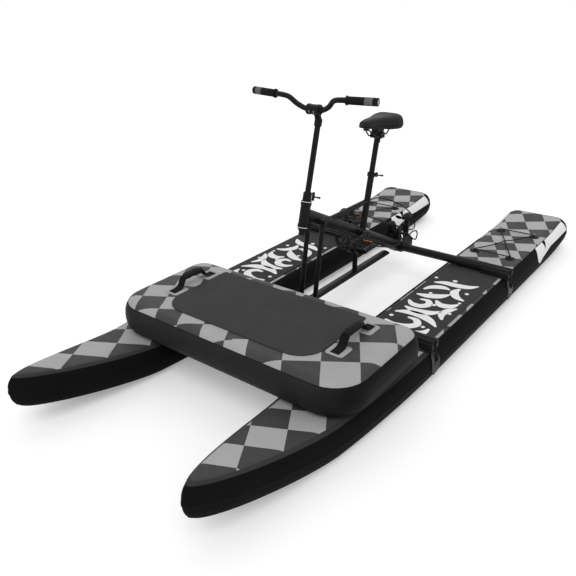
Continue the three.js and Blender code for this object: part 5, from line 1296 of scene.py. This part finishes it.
def make_post():
    post = Build().add(rod(Z * 20, Z * POST_TOP, POST_RADIUS, 40, edge=0.8)).place(HEAD_LOW, -STEER_TURN)
    post.make("steering_post_tube", "frame", "handlebar_unit", "frame", replaced=["steering_post"])
    top = POST_TOP + 6.3
    start, hub = vec(0, 0, POST_TOP - 11), vec(0, -STEM_REACH, POST_TOP + STEM_RISE)
    turn = vec(0, -STEM_REACH * 0.12, POST_TOP + STEM_RISE * 0.55)
    shares = [i / 14 for i in range(15)]
    neck = [start * (1 - t) ** 2 + turn * 2 * t * (1 - t) + hub * t ** 2 for t in shares]
    stem = Build().add_all([
        lathe([(-34.3, 13.2), (-33.6, 15.4), (-32, 16.5), (-6, 16.5), (-3, 15.6), (-1, 13), (0, 8.5)],
              Z * top, Z, 40),
        sweep(neck, [16.2 - 2.2 * math.sin(math.pi * t) for t in shares], 32),
        lathe(both([(19, 20.8), (20, 22), (29.5, 22), (31, 21.6), (32, 20)]), hub, X, 44)])
    for x in (-24.8, 24.8):
        stem.add(ring_tube(hub + X * (x - 1), hub + X * (x + 1), 22.4, 21, 44))
    stem.place(HEAD_LOW, -STEER_TURN).make(
        "stem_neck", "frame", "handlebar_unit", "frame", replaced=["stem"], bevel=0.5)
    bolt = [(0, 4.2), (3.4, 4.2), (4.2, 3.4), (4.2, 2.0), (2.6, 1.8)]
    bolts = Build().add_all(lathe(bolt, hub + vec(x, -18, -10), vec(0, -0.88, -0.48), 16) for x in (-12, 12))
    bolts.add(lathe([(0, 5), (1.8, 5), (2.4, 4.2)], Z * (top - 0.4), Z, 6))
    bolts.place(HEAD_LOW, -STEER_TURN).make("stem_bolts", "steel", "handlebar_unit", "silver")


make_post()


def bar_half():
    bends = [vec(share * BAR_HALF, -BAR_SWEEP * back, BAR_RISE * up)
             for share, back, up in zip(BAR_ACROSS, BAR_BACK, BAR_UP)]
    return even_path(smooth_path([ORIGIN, *bends], 8), 30) + [vec(BAR_HALF, -BAR_END_BACK, BAR_RISE)]


def make_bar():
    half = bar_half()
    route = [p * vec(-1, 1, 1) for p in half[:0:-1]] + half
    bulge = lathe(both([(31, 12.7), (35, 12.2), (38, 11.2)]), ORIGIN, X, 36)
    bar = Build().add_all([sweep(route, BAR_RADIUS, 28), bulge])
    bar.place(BAR_POINT).make("handlebar_tube", "frame", "handlebar_unit", "frame", replaced=["handlebar"])
    straight, end = half[-2], half[-1]
    way = unit(end - straight)
    start = straight + way * ((BAR_HALF - GRIP_LENGTH - straight[0]) / way[0])
    length = np.linalg.norm(end - start) + 4.8
    profile = [(0, 15), (0.6, 18.4), (1.4, 19), (3.2, 19), (4.2, 17.4), (6, 15.6)]
    along = 8.0
    while along < length - 10:
        profile += [(along, 15.2), (along + 0.7, 16), (along + 2.5, 16), (along + 3.2, 15.2)]
        along += 4.2
    profile += [
        (length - 6, 15.4), (length - 5, 16.4), (length - 1.6, 16.4), (length - 0.4, 15.4), (length, 13.6)]
    low, high = length * 0.6, length * 0.86
    for name, flip in (("left", False), ("right", True)):
        grip = Build().add(lathe(profile, start, way, 40)).place(BAR_POINT, 0, flip)
        grip.make(f"grip_cover_{name}", "rubber", "handlebar_unit", "grip_rubber", replaced=[f"grip_{name}"])
        # A pale band near the grip's end: a label band, and on the left grip also a painted highlight.
        sleeve = Build().add(lathe(
            [(low, 15), (low + 0.6, 16.3), (high - 0.6, 16.3), (high, 15)], start, way, 40))
        sleeve.place(BAR_POINT, 0, flip).make(
            f"grip_band_and_highlight_{name}", "grip_band_and_highlight", "handlebar_unit", "grip_rubber")
        plug = Build().add(lathe(
            [(-1, 11.6), (0.6, 11.6), (1.2, 10.8), (1.4, 6)], start + way * length, way, 30))
        plug.place(BAR_POINT, 0, flip).make(f"bar_plug_{name}", "steel", "handlebar_unit", "grip_rubber")


make_bar()


# Seat post, its head, the rails and the saddle
SEAT_POST_LOW, SEAT_POST_TOP, SEAT_POST_RADIUS = 180, 481, 13.6
SADDLE_LENGTH, SADDLE_WIDTH, SADDLE_HEIGHT, SADDLE_NOSE, SADDLE_BASE = 272, 168, 62, 146, 36
SADDLE_ALONG = [0, 0.04, 0.14, 0.36, 0.52, 0.66, 0.82, 0.94, 1]
SADDLE_WIDE = [0.12, 0.26, 0.34, 0.46, 0.64, 0.85, 1, 0.93, 0.52]
SADDLE_TOP = [0.66, 0.88, 0.97, 0.99, 0.97, 0.95, 0.98, 1, 0.86]
SADDLE_LOW = [0.5, 0.42, 0.32, 0.18, 0.06, -0.03, -0.09, -0.09, 0.22]
SADDLE_RING = [
    (1, 0.3), (0.97, 0.62), (0.82, 0.86), (0.5, 0.97), (0, 0.985), (-0.5, 0.97), (-0.82, 0.86),
    (-0.97, 0.62), (-1, 0.3), (-0.9, 0.04), (-0.5, 0), (0, 0.02), (0.5, 0), (0.9, 0.04)]
# Which points of each ring round the saddle lie on its two lower edges and its two upper seams.
SADDLE_EDGES, SADDLE_SEAMS = (0, 32), (11, 21)
SEAT_MOUNT = leaning(SEAT_FOOT, SEAT_TURN, 0, SEAT_POST_TOP)
RAIL_HALF, RAIL_NOSE_HALF, RAIL_RISE, RAIL_Z, RAIL_RADIUS, RAIL_BEND_Y = 22, 9, 20, 8, 3.5, -44


def closed_smooth(points, steps):
    count = len(points)
    line = smooth_path([points[-2], points[-1], *points, points[0], points[1]], steps)
    return line[2 * steps:(2 + count) * steps]


def saddle_rings():
    columns = []
    for across, up in SADDLE_RING:
        line = []
        for along, wide, top, low in zip(SADDLE_ALONG, SADDLE_WIDE, SADDLE_TOP, SADDLE_LOW):
            bottom, crown = SADDLE_BASE + SADDLE_HEIGHT * low, SADDLE_BASE + SADDLE_HEIGHT * top
            line.append(vec(
                across * wide * SADDLE_WIDTH / 2, along * SADDLE_LENGTH - SADDLE_NOSE,
                bottom + (crown - bottom) * up))
        columns.append(smooth_path(line, 5))
    rings = [closed_smooth([column[i] for column in columns], 4) for i in range(len(columns[0]))]

    def shrunk(ring, share, out):
        middle = np.mean(np.array(ring), axis=0)
        return [middle + (p - middle) * share + Y * out for p in ring]

    nose = [shrunk(rings[0], s, -o) for s, o in ((0.12, 4.4), (0.5, 3.8), (0.8, 2.2))]
    tail = [shrunk(rings[-1], s, o) for s, o in ((0.9, 2.4), (0.7, 4.4), (0.4, 5.6), (0.1, 6.0))]
    return nose + rings + tail


def make_saddle():
    rings = saddle_rings()
    cover = Build().add(skin(rings)).place(SEAT_MOUNT)
    saddle = cover.make("saddle_cover", "saddle", "seat", "saddle_cover", replaced=["saddle"], sharp=70)
    trim = Build()
    for index in SADDLE_EDGES:
        edge = [ring[index] for ring in rings[2:-3]]
        trim.add(sweep([p + vec(math.copysign(0.6, p[0]), 0, -1.5) for p in edge], 1.3, 8))
    for index in SADDLE_SEAMS:
        trim.add(sweep([ring[index] + Z * 0.2 for ring in rings[6:-6]], 0.7, 6))
    trim.place(SEAT_MOUNT).make("saddle_seams", "saddle_trim", "seat", "saddle_cover", sharp=80)
    nose_y, back_y = -SADDLE_NOSE * 0.72, (SADDLE_LENGTH - SADDLE_NOSE) * 0.72
    half = [
        vec(RAIL_HALF, back_y, SADDLE_BASE + RAIL_RADIUS), vec(RAIL_HALF, back_y * 0.55, RAIL_Z),
        vec(RAIL_HALF, RAIL_BEND_Y, RAIL_Z),
        vec(RAIL_NOSE_HALF, nose_y, SADDLE_BASE + RAIL_RISE - RAIL_RADIUS)]
    route = bent([*half, *[p * vec(-1, 1, 1) for p in half[::-1]]], 8.1, 8)
    rails = Build().add(sweep(route, RAIL_RADIUS, 16)).place(SEAT_MOUNT)
    rails.make("saddle_rail_wire", "dark_metal", "seat", "steel", replaced=["saddle_rails"])
    base = Build()
    base.add(box_solid((-13, nose_y - 8, SADDLE_BASE + 10), (13, nose_y + 8, SADDLE_BASE + 24)))
    for x in (-RAIL_HALF, RAIL_HALF):
        base.add(box_solid((x - 8, back_y - 9, SADDLE_BASE - 6), (x + 8, back_y + 9, SADDLE_BASE + 14)))
    base.add(box_solid((-17, -30, 19), (17, 34, SADDLE_BASE + 8)))
    base.place(SEAT_MOUNT).make("saddle_rail_sockets", "plastic", "seat", "saddle_cover", bevel=2)


make_saddle()


def make_seat_post():
    post = Build().add(rod(Z * SEAT_POST_LOW, Z * SEAT_POST_TOP, SEAT_POST_RADIUS, 44, edge=0.6))
    for at in range(322, 430, 12):
        post.add(ring_tube(Z * at, Z * (at + 0.7), SEAT_POST_RADIUS + 0.15, SEAT_POST_RADIUS - 0.4, 44))
    post.place(SEAT_FOOT, -SEAT_TURN).make(
        "seat_post_tube", "frame", "seat", "frame", replaced=["seat_post"])
    head = Build().add_all([
        box_solid((-30, -20, -5), (30, 20, 6.5)), box_solid((-30, -20, 9.5), (30, 20, 21)),
        lathe([(-30, 13), (-28, 14.5), (-6, 16), (-2, 15)], ORIGIN, Z, 32),
        rod(vec(-16, 0, 8), vec(16, 0, 8), 9, 24)])
    head.place(SEAT_MOUNT).make("seat_post_head", "frame", "seat", "frame", bevel=2.5)
    bolts = Build()
    for y in (-14, 14):
        bolts.add(rod(vec(0, y, -7), vec(0, y, 23), 3, 18, edge=0.5))
        bolts.add(lathe([(0, 5), (2.4, 5), (3.2, 4)], vec(0, y, 21), Z, 6))
    bolts.place(SEAT_MOUNT).make("seat_post_bolts", "steel", "seat", "steel")


make_seat_post()


# Cranks and chainring
CRANK_LENGTH, CRANK_IN, CRANK_OUT, CRANK_EASE, CRANK_TURN = 170, 62, 76, 3.0, math.radians(-3)
CRANK_END = vec(0, -CRANK_LENGTH, 0)
SPINDLE_END, SPINDLE_RADIUS = 176, 6
CHAIN_LINE, PITCH, RING_TEETH, SPROCKET_TEETH = 51, 12.7, 48, 16


def pitch_radius(teeth):
    return PITCH / (2 * math.sin(math.pi / teeth))


def crank_arm():
    ends = [
        ([(CRANK_IN, 15), (CRANK_IN + 1.2, 16), (CRANK_OUT - 2, 16), (CRANK_OUT - 0.6, 15), (CRANK_OUT, 13)],
         ORIGIN, 40),
        ([(CRANK_IN + 0.6, 12), (CRANK_IN + 1.6, 13), (CRANK_OUT - 1.6, 13), (CRANK_OUT - 0.4, 12)],
         CRANK_END, 36)]
    arm = Build().add_all(lathe(profile, at, X, sides) for profile, at, sides in ends)
    rings = []
    for i in range(19):
        share = i / 18
        y = -8 - (CRANK_LENGTH - 14) * share
        half = 10.6 - 2.0 * share + 2.6 * (2 * share - 1) ** 4
        x0, x1 = CRANK_IN + 1.0 + share * 0.6, CRANK_OUT - 1.0 - 1.2 * math.sin(math.pi * share)
        rings.append([vec(x, y, z) for x, z in (
            (x0, -half + CRANK_EASE), (x0 + CRANK_EASE, -half), (x1 - CRANK_EASE, -half),
            (x1, -half + CRANK_EASE), (x1, half - CRANK_EASE), (x1 - CRANK_EASE, half),
            (x0 + CRANK_EASE, half), (x0, half - CRANK_EASE))])
    arm.add(skin(rings))
    return arm


def make_cranks():
    for name, turn, flip in (("left", CRANK_TURN, False), ("right", CRANK_TURN + math.pi, True)):
        crank_arm().place(BB, turn, flip).make(
            f"crank_arm_{name}", "frame", "crank", "frame", replaced=[f"crank_{name}"], sharp=50)
        Build().add_all([
            rod(CRANK_END + X * (CRANK_IN + 4), CRANK_END + X * SPINDLE_END, SPINDLE_RADIUS, 24, edge=0.6),
            lathe([(0, 9.5), (2.2, 9.5), (3.0, 8.6)], CRANK_END + X * (CRANK_OUT - 0.2), X, 6),
            lathe([(0, 9.6), (1.4, 9.6), (1.9, 8.6), (1.2, 5)], X * (CRANK_OUT - 0.6), X, 28),
        ]).place(BB, turn, flip).make(f"crank_metal_{name}", "dark_metal", "crank", "steel")


make_cranks()


# One tooth: how far round its share of the wheel, and how far out from the pitch line.
TOOTH = ((0.0, -3.6), (0.14, -3.0), (0.26, -0.6), (0.38, 2.4), (0.46, 3.7), (0.54, 3.7), (0.62, 2.4),
         (0.74, -0.6), (0.86, -3.0))
RING_ARMS, RING_RIM = 5, 13


def toothed(teeth, x0, x1, inner):
    """A chain wheel with rounded teeth and a round hole."""
    pitch = pitch_radius(teeth)
    outer = []
    for i in range(teeth):
        for share, more in TOOTH:
            turn = 2 * math.pi * (i + share) / teeth
            outer.append((math.cos(turn), math.sin(turn), pitch + more))
    rings = []
    for x, radius in ((x0, None), (x1, None), (x1, inner), (x0, inner)):
        rings.append([vec(x, c * (radius or r), s * (radius or r)) for c, s, r in outer])
    return skin(rings, closed=True)


def make_chainring():
    wheel = Build()
    rim_inner = pitch_radius(RING_TEETH) - 3.8 - RING_RIM
    wheel.add(toothed(RING_TEETH, -CHAIN_LINE - 1.5, -CHAIN_LINE + 1.5, rim_inner))
    outline = [(-11, 8), (-7.5, 44), (-9, rim_inner + 5), (9, rim_inner + 5), (7.5, 44), (11, 8)]
    bolt = [(-2.2, 4.6), (-1.9, 5), (1.9, 5), (2.4, 4.4), (1.6, 2.4)]
    bolts = Build()
    for turn in turns_of(RING_ARMS):
        out, across = vec(0, -math.sin(turn), math.cos(turn)), vec(0, math.cos(turn), math.sin(turn))
        wheel.add(prism(outline, X * (-CHAIN_LINE - 1.9), across, out, X * 3.8))
        bolts.add(lathe(bolt, out * (rim_inner + 3) - X * CHAIN_LINE, X, 20))
    wheel.add(lathe([(-61.6, 14), (-60.6, 15), (-50, 15), (-49.5, 14.4)], ORIGIN, X, 36))
    wheel.place(BB).make(
        "chainring_wheel", "dark_metal", "crank", "chain_steel", replaced=["chainring"], bevel=0.5)
    bolts.place(BB).make("chainring_bolts", "steel", "crank", "chain_steel")


make_chainring()


# Chain: links at the wheels' pitch lines
LINK_RADIUS, LINK_WAIST, ROLLER_RADIUS = 3.9, 2.9, 2.4


def chain_line():
    """Points one pitch apart on the closed line about both wheels, in Y and Z."""
    (y1, z1, r1), (y2, z2, r2) = (
        (BB[1], BB[2], pitch_radius(RING_TEETH)), (JACK[1], JACK[2], pitch_radius(SPROCKET_TEETH)))
    base, lean = math.atan2(z2 - z1, y2 - y1), math.acos((r1 - r2) / math.hypot(y2 - y1, z2 - z1))
    dense = []
    for cy, cz, r, first, last in ((y1, z1, r1, base + lean, base + 2 * math.pi - lean),
                                   (y2, z2, r2, base - lean, base + lean)):
        for i in range(121):
            turn = first + (last - first) * i / 120
            dense.append(vec(0, cy + r * math.cos(turn), cz + r * math.sin(turn)))
    dense.append(dense[0])
    length = sum(np.linalg.norm(b - a) for a, b in zip(dense, dense[1:]))
    count = 2 * round(length / PITCH / 2)
    return even_path(dense, count + 1)[:-1]


def make_chain():
    pins = chain_line()
    plates, rollers = Build(), Build()
    for i, (a, b) in enumerate(zip(pins, pins[1:] + pins[:1])):
        way = unit(b - a)
        up = np.cross(X, way)
        reach = np.linalg.norm(b - a)
        outline = []
        for centre, first in ((reach, -90), (0.0, 90)):
            for k in range(7):
                turn = math.radians(first + 180 * k / 6)
                outline.append((centre + LINK_RADIUS * math.cos(turn), LINK_RADIUS * math.sin(turn)))
            outline.append((reach / 2, LINK_WAIST if centre else -LINK_WAIST))
        offset = 3.2 if i % 2 else 2.1
        for sign in (-1, 1):
            origin = a + X * (-CHAIN_LINE + sign * offset - 0.5)
            plates.add(prism(outline, origin, way, up, X))
        rollers.add(rod(a - X * (CHAIN_LINE + 3.4), a - X * (CHAIN_LINE - 3.4), ROLLER_RADIUS, 10))
    plates.make("chain_plates", "chain", "craft", "chain_steel", replaced=["chain"], sharp=30)
    rollers.make("chain_rollers", "chain", "craft", "chain_steel", sharp=40)


make_chain()


# Pedals
PEDAL_IN, PEDAL_WIDTH, PEDAL_DEPTH, PEDAL_HEIGHT = 90, 92, 78, 22
PEDAL_TILT = math.radians(8)
CAGE_REACH, CAGE_RISE, CAGE_SET_IN, CAGE_WIDTH, CAGE_THICK = 46, 78, 18, 14, 2.6
TOE_STRAP_WIDE, TOE_STRAP_THICK = 14, 2.0
CAGE_FORE = [-0.02, -0.55, -0.95, -0.86, -0.4, 0.12]
CAGE_UP = [0, 0.1, 0.42, 0.78, 0.98, 1]


def plate_ring(outer, inner, z0, z1, edge=1.2):
    """A flat frame between two outlines with as many points, with eased edges."""
    def at(outline, z, grow):
        middle = np.mean(np.array(outline), axis=0)
        return [vec(x + math.copysign(grow, x - middle[0]), y + math.copysign(grow, y - middle[1]), z)
                for x, y in outline]
    return skin([
        at(outer, z0, -edge), at(outer, z0 + edge, 0), at(outer, z1 - edge, 0), at(outer, z1, -edge),
        at(inner, z1, 0), at(inner, z0, 0)], closed=True)


def make_pedal(name, centre, flip):
    out_x, half, depth = PEDAL_IN + PEDAL_WIDTH, PEDAL_HEIGHT / 2, PEDAL_DEPTH / 2

    def fit(solids, part, finish, **settings):
        Build().add_all(solids).place(centre, PEDAL_TILT, flip).make(
            f"{part}_{name}", finish, f"pedal_{name}_unit", "black_plastic", **settings)

    body = [plate_ring(
        rounded_outline(PEDAL_IN, out_x, -depth, depth, 14, 14),
        rounded_outline(PEDAL_IN + 9, out_x - 9, -depth + 9, depth - 9, 6, 6), -half, half)]
    for y in (-20, 20):
        body.append(box_solid((PEDAL_IN + 6, y - 2.4, -half + 2), (out_x - 6, y + 2.4, half - 2)))
    for x in (PEDAL_IN + 30, out_x - 30):
        body.append(box_solid((x - 2.2, -depth + 6, -half + 3), (x + 2.2, depth - 6, half - 3)))
    body.append(lathe([
        (PEDAL_IN - 4.5, 9.5), (PEDAL_IN - 3.5, 11), (out_x - 2, 11), (out_x, 9.6), (out_x + 0.2, 6)],
        ORIGIN, X, 32))
    for x in range(PEDAL_IN + 12, PEDAL_IN + 97, 17):
        for y in (-depth + 4.5, depth - 4.5):
            for z in (-half, half):
                stud = [(-2, 2.4), (1.4, 2.2), (2.0, 1.5)]
                body.append(lathe(stud, vec(x, y, z), Z * math.copysign(1, z), 10))
    fit(body, "pedal_body", "dark_plastic", replaced=[f"pedal_{name}"], bevel=0.6)
    lens = box_solid((PEDAL_IN + 9, depth - 2.4, -8), (out_x - 9, depth + 2.0, half + 3.4))
    fit([lens], "pedal_reflectors", "amber", bevel=0.8)
    line = smooth_path([
        (0, -depth + 2.5 + fore * CAGE_REACH, -half + up * CAGE_RISE)
        for fore, up in zip(CAGE_FORE, CAGE_UP)], 7)
    cage = [
        band([p + X * x for p in line], X, CAGE_WIDTH, CAGE_THICK)
        for x in (PEDAL_IN + CAGE_SET_IN + CAGE_WIDTH / 2, out_x - CAGE_SET_IN - CAGE_WIDTH / 2)]
    for index in (16, 27):
        _, y, z = line[index]
        cage.append(rod(vec(PEDAL_IN + 20, y, z), vec(out_x - 20, y, z), 2.4, 14))
    fit(cage, "toe_cage", "dark_plastic", bevel=0.5)
    bridge = -depth + 2.5 + CAGE_FORE[-1] * CAGE_REACH - 7
    low, high, top = CAGE_RISE * 0.5, CAGE_RISE * 0.86 - half, CAGE_RISE - half + 2.6
    strap = band(smooth_path([
        (PEDAL_IN - 1.8, bridge, 0), (PEDAL_IN - 1.8, bridge, low), (PEDAL_IN + 10, bridge, high),
        (PEDAL_IN + 24, bridge, top), (out_x - 24, bridge, top), (out_x - 10, bridge, high),
        (out_x + 1.8, bridge, low), (out_x + 1.8, bridge, 0)],
        7), Y, TOE_STRAP_WIDE, TOE_STRAP_THICK)
    fit([strap], "toe_strap", "webbing")
    buckle = ring_tube(vec(out_x + 0.4, bridge, 20), vec(out_x + 4.2, bridge, 20), 9, 6, 24)
    fit([buckle], "toe_buckle", "steel")


PEDAL_OUT = vec(0, -CRANK_LENGTH * math.cos(CRANK_TURN), -CRANK_LENGTH * math.sin(CRANK_TURN))
make_pedal("left", BB + PEDAL_OUT, False)
make_pedal("right", BB - PEDAL_OUT, True)


# Drive: sprocket shaft, belt, leg, lower unit and propeller
GUARD_IN, LEG_HEIGHT, LEG_REACH = 60.5, 136, 176
BELT_X, BELT_RADIUS = -23, 19.8
CIRCLIP = [(36.7, 10), (37.4, 11), (39.8, 11), (40.6, 10)]
PULLEY = [(-27, 17), (-26.6, 18), (-19.4, 18), (-19, 17)]


def make_jackshaft():
    Build().add_all([
        rod(vec(-GUARD_IN + 3, 0, 0), vec(40.6, 0, 0), 7, 28, edge=0.6),
        lathe(CIRCLIP, ORIGIN, X, 30),
        lathe([(-CHAIN_LINE, 12), (-36.6, 12)], ORIGIN, X, 30),
        toothed(SPROCKET_TEETH, -CHAIN_LINE - 1.5, -CHAIN_LINE + 1.5, 7.2),
        lathe(PULLEY, ORIGIN, X, 36),
    ]).place(JACK).make("jackshaft_turning", "dark_metal", "jackshaft", "steel", replaced=["rear_sprocket"])
    Build().add_all([
        rod(vec(-40.6, 0, 0), vec(40.6, 0, 0), 6, 28, edge=0.6),
        lathe(CIRCLIP, ORIGIN, -X, 30), lathe(CIRCLIP, ORIGIN, X, 30), lathe(PULLEY, ORIGIN, X, 36),
    ]).place(PIVOT).make("pivot_turning", "dark_metal", "pivot", "steel", replaced=["pivot_shaft"])


make_jackshaft()


def make_belt():
    base = math.atan2(PIVOT[2] - JACK[2], PIVOT[1] - JACK[1])
    jack, pivot = JACK + X * BELT_X, PIVOT + X * BELT_X

    def rim(centre, turn):
        return centre + vec(0, BELT_RADIUS * math.cos(turn), BELT_RADIUS * math.sin(turn))

    line = []
    for centre, other, first in ((jack, pivot, base + math.pi / 2), (pivot, jack, base - math.pi / 2)):
        line += [rim(centre, first + math.pi * i / 18) for i in range(19)]
        start, stop = line[-1], rim(other, first + math.pi)
        line += [start + (stop - start) * k / 8 for k in range(1, 8)]
    Build().add(band(line, X, 7.4, 2.8, closed=True)).make(
        "drive_belt_loop", "rubber", "craft", "belt", replaced=["drive_belt"])


make_belt()


def make_leg():
    rings = []
    for z, grow in ((0, 0), (18, -0.4), (60, -0.8), (110, -0.6), (128, 0.0), (132, 0.2), (135, -1.2),
                    (LEG_HEIGHT, -3.2)):
        rings.append([
            vec((15 + grow) * math.cos(t) * (0.86 + 0.14 * abs(math.cos(t))), (23 + grow) * math.sin(t), z)
            for t in turns_of(40)])
    Build().add_all([
        skin(rings), lathe(both([(16, 17), (17, 15.6)]), ORIGIN, X, 40),
        rod(vec(0, -13, 106), vec(20, -13, 106), 5, 24, edge=0.8),
    ]).place(PIVOT).make("drive_leg_shell", "dark_plastic", "leg", "black_plastic", replaced=["drive_leg"])


def make_lower_unit():
    neck = ((138, 12, 12), (150, 11, 14), (162, 10.5, 17), (172, 11, 21), (178, 9, 22))
    pod = smooth_path([
        (-28, 11.3, 0), (-24, 14.6, 0), (-11, 18.6, 0), (9, 19, 0), (26, 16, 0), (38, 10, 0), (45, 3.6, 0),
        (46, 0.1, 0)], 4)
    Build().add_all([
        rod(Z * (LEG_HEIGHT - 35), Z * LEG_REACH, 10, 30),
        lathe([(136.5, 13), (137.2, 14), (140.8, 14), (141.5, 13)], ORIGIN, Z, 36),
        skin([oval(Z * z, X, Y, wide, deep, 36) for z, wide, deep in neck]),
        lathe([(p[0], p[1]) for p in pod], Z * LEG_REACH, Y, 44),
    ]).place(PIVOT).make(
        "lower_unit_pod", "dark_plastic", "steered_pod", "black_plastic", replaced=["lower_unit"], sharp=50)


HUB_BACK, HUB_LENGTH, BLADE_ROOT, BLADE_LENGTH, BLADE_MIDDLE = -45.6, 17, 6, 45.6, 29


def make_propeller():
    hub = Y * HUB_BACK
    screw = Build().add_all([
        lathe([(-0.2, 2), (0.6, 6), (2.6, 9.4), (6, 11), (16, 11), (HUB_LENGTH, 10.4)], hub, Y, 36),
        rod(hub + Y * 10, Y * 8, 5, 20)])
    for sign in (1, -1):
        rings = []
        for i in range(17):
            share = i / 16
            radius = BLADE_ROOT + BLADE_LENGTH * share
            swell = math.sqrt(max(0.012, 1 - ((radius - BLADE_MIDDLE) / 23.2) ** 2))
            chord = 13.4 * swell + 1.6 * (1 - share)
            lean = math.radians(44 - 26 * share)
            along = vec(0, math.sin(lean), math.cos(lean) * sign)
            face = vec(0, math.cos(lean), -math.sin(lean) * sign)
            middle = hub + vec(sign * radius, 8.5, 0) + along * (2.5 * math.sin(math.pi * share))
            rings.append(oval(middle, along, face, chord, 1.9 - 1.1 * share, 16))
        screw.add(skin(rings))
    screw.place(PIVOT + Z * LEG_REACH).make(
        "propeller_screw", "dark_plastic", "screw", "black_plastic", replaced=["propeller"], sharp=60)


make_leg()
make_lower_unit()
make_propeller()


# Steering cable and lift rope, on the same routes as their solids
CABLE_OUT, CABLE_BACK, CABLE_OVER = 66, 117, 80
CABLE_OUT_SHARES = [0.47, 0.697, 0.818, 0.94, 1, 0.97]
CABLE_BACK_SHARES = [-1.068, -0.47, 0.043, 0.513, 0.829, 1]
CABLE_UP_SHARES = [0.4825, 0.495, 0.72, 0.995, 0.92, 0.57]
CABLE_RADIUS, ROPE_RADIUS, ROPE_OUT = 3.5, 3, 64
ROPE_OUT_SHARES = [0.047, 0.203, 0.406, 0.64, 0.875, 1, 0.984, 0.78, 0.53]
ROPE_BACK_SHARES = [0.153, 0.4, 0.611, 0.777, 0.896, 0.95, 0.975, 0.995, 1]
ROPE_DOWN_SHARES = [0.01, 0.13, 0.28, 0.44, 0.61, 0.76, 0.89, 0.97, 1]


def make_cable():
    start = CABLE_STOP + MAIN_WAY * 0.3
    middle = on_main(300) + MAIN_DOWN * CABLE_DROP + X * CABLE_X
    bends = [
        vec(CABLE_OUT * out, REAR_BEAM_Y + CABLE_BACK * back, BEAM_Z + CABLE_OVER * up)
        for out, back, up in zip(CABLE_OUT_SHARES, CABLE_BACK_SHARES, CABLE_UP_SHARES)]
    end = vec(38.3, PIVOT[1] + 9, PIVOT[2] + 46)
    line = bent([start, middle, *bends, vec(60, end[1], end[2]), end], 8, 6)
    cable = Build().add(sweep(line, CABLE_RADIUS, 14)).make(
        "steering_cable_outer", "cable", "craft", "cable", replaced=["steering_cable"], sharp=80)


def make_rope():
    start = CLEAT_TIP + Y * 0.3
    end = PIVOT + vec(20.3, -13, 106)
    bends = [
        vec(ROPE_OUT * out, start[1] + back * (end[1] - start[1]), start[2] + down * (end[2] - start[2]))
        for out, back, down in zip(ROPE_OUT_SHARES, ROPE_BACK_SHARES, ROPE_DOWN_SHARES)]
    line = even_path(smooth_path([start, *bends, end], 10), 90)
    rope = Build().add(sweep(line, ROPE_RADIUS, 12)).make(
        "lift_rope_line", "rope", None, "cable", replaced=["lift_rope"], sharp=80)
    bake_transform(rope)


make_cable()
make_rope()


# Lighting, floor and background
WHITE, FLOOR_TONE, FLOOR_GLOW, SKY_LIGHT, SKY_SEEN = (1, 1, 1, 1), 238, 0.28, 0.62, 1.0


def make_stage():
    bpy.ops.mesh.primitive_plane_add(size=60, location=(0, 0, -0.0005))
    floor = bpy.context.active_object
    floor.name = "studio_floor"
    made = Finish("studio_floor", 0.9, 0.0, 0.0)
    made.colour(shade(FLOOR_TONE))
    glow = made.node("Emission", {"Color": WHITE, "Strength": made.times(made.seen(), FLOOR_GLOW)})
    total = made.node("AddShader", {0: made.shader.outputs[0], 1: glow.outputs[0]})
    made.links.new(total.outputs[0], made.output.inputs[0])
    floor.data.materials.append(made.material)
    world = bpy.data.worlds.new("studio")
    scene.world = world
    world.use_nodes = True
    sky = Nodes(world.node_tree)
    level = sky.ramp(sky.seen(), 0.0, 1.0, SKY_LIGHT, SKY_SEEN)
    sky.node("OutputWorld", {0: sky.node("Background", {0: WHITE, 1: level}).outputs[0]})
    for name, turn, strength, angle in (
            ("key", (28, 20, 0), 1.0, 40), ("fill", (-35, -30, 0), 0.35, 60)):
        data = bpy.data.lights.new(name, "SUN")
        data.energy, data.angle = strength, math.radians(angle)
        lamp = bpy.data.objects.new(name, data)
        lamp.rotation_euler = [math.radians(degrees) for degrees in turn]
        scene.collection.objects.link(lamp)


make_stage()


# Finishes of the solids that stay in view
SLOT_FINISHES = {
    "hull_fabric": "side", "platform_fabric": "platform_side", "foam": "foam", "webbing": "webbing",
    "patch": "patch", "bungee": "bungee", "frame": "frame", "beam": "beam", "foot_plastic": "plastic",
    "black_plastic": "dark_plastic", "silver": "dark_metal", "steel": "dark_metal", "chain_steel": "chain",
    "grip_rubber": "rubber", "saddle_cover": "saddle", "cable": "cable", "belt": "rubber"}
for node_name, node in frame["nodes"].items():
    slot = next(p["material_slot"] for p in frame["record"]["subparts"] if p["node"] == node_name)
    node.data.materials.clear()
    node.data.materials.append(FINISHES[SLOT_FINISHES[slot]])
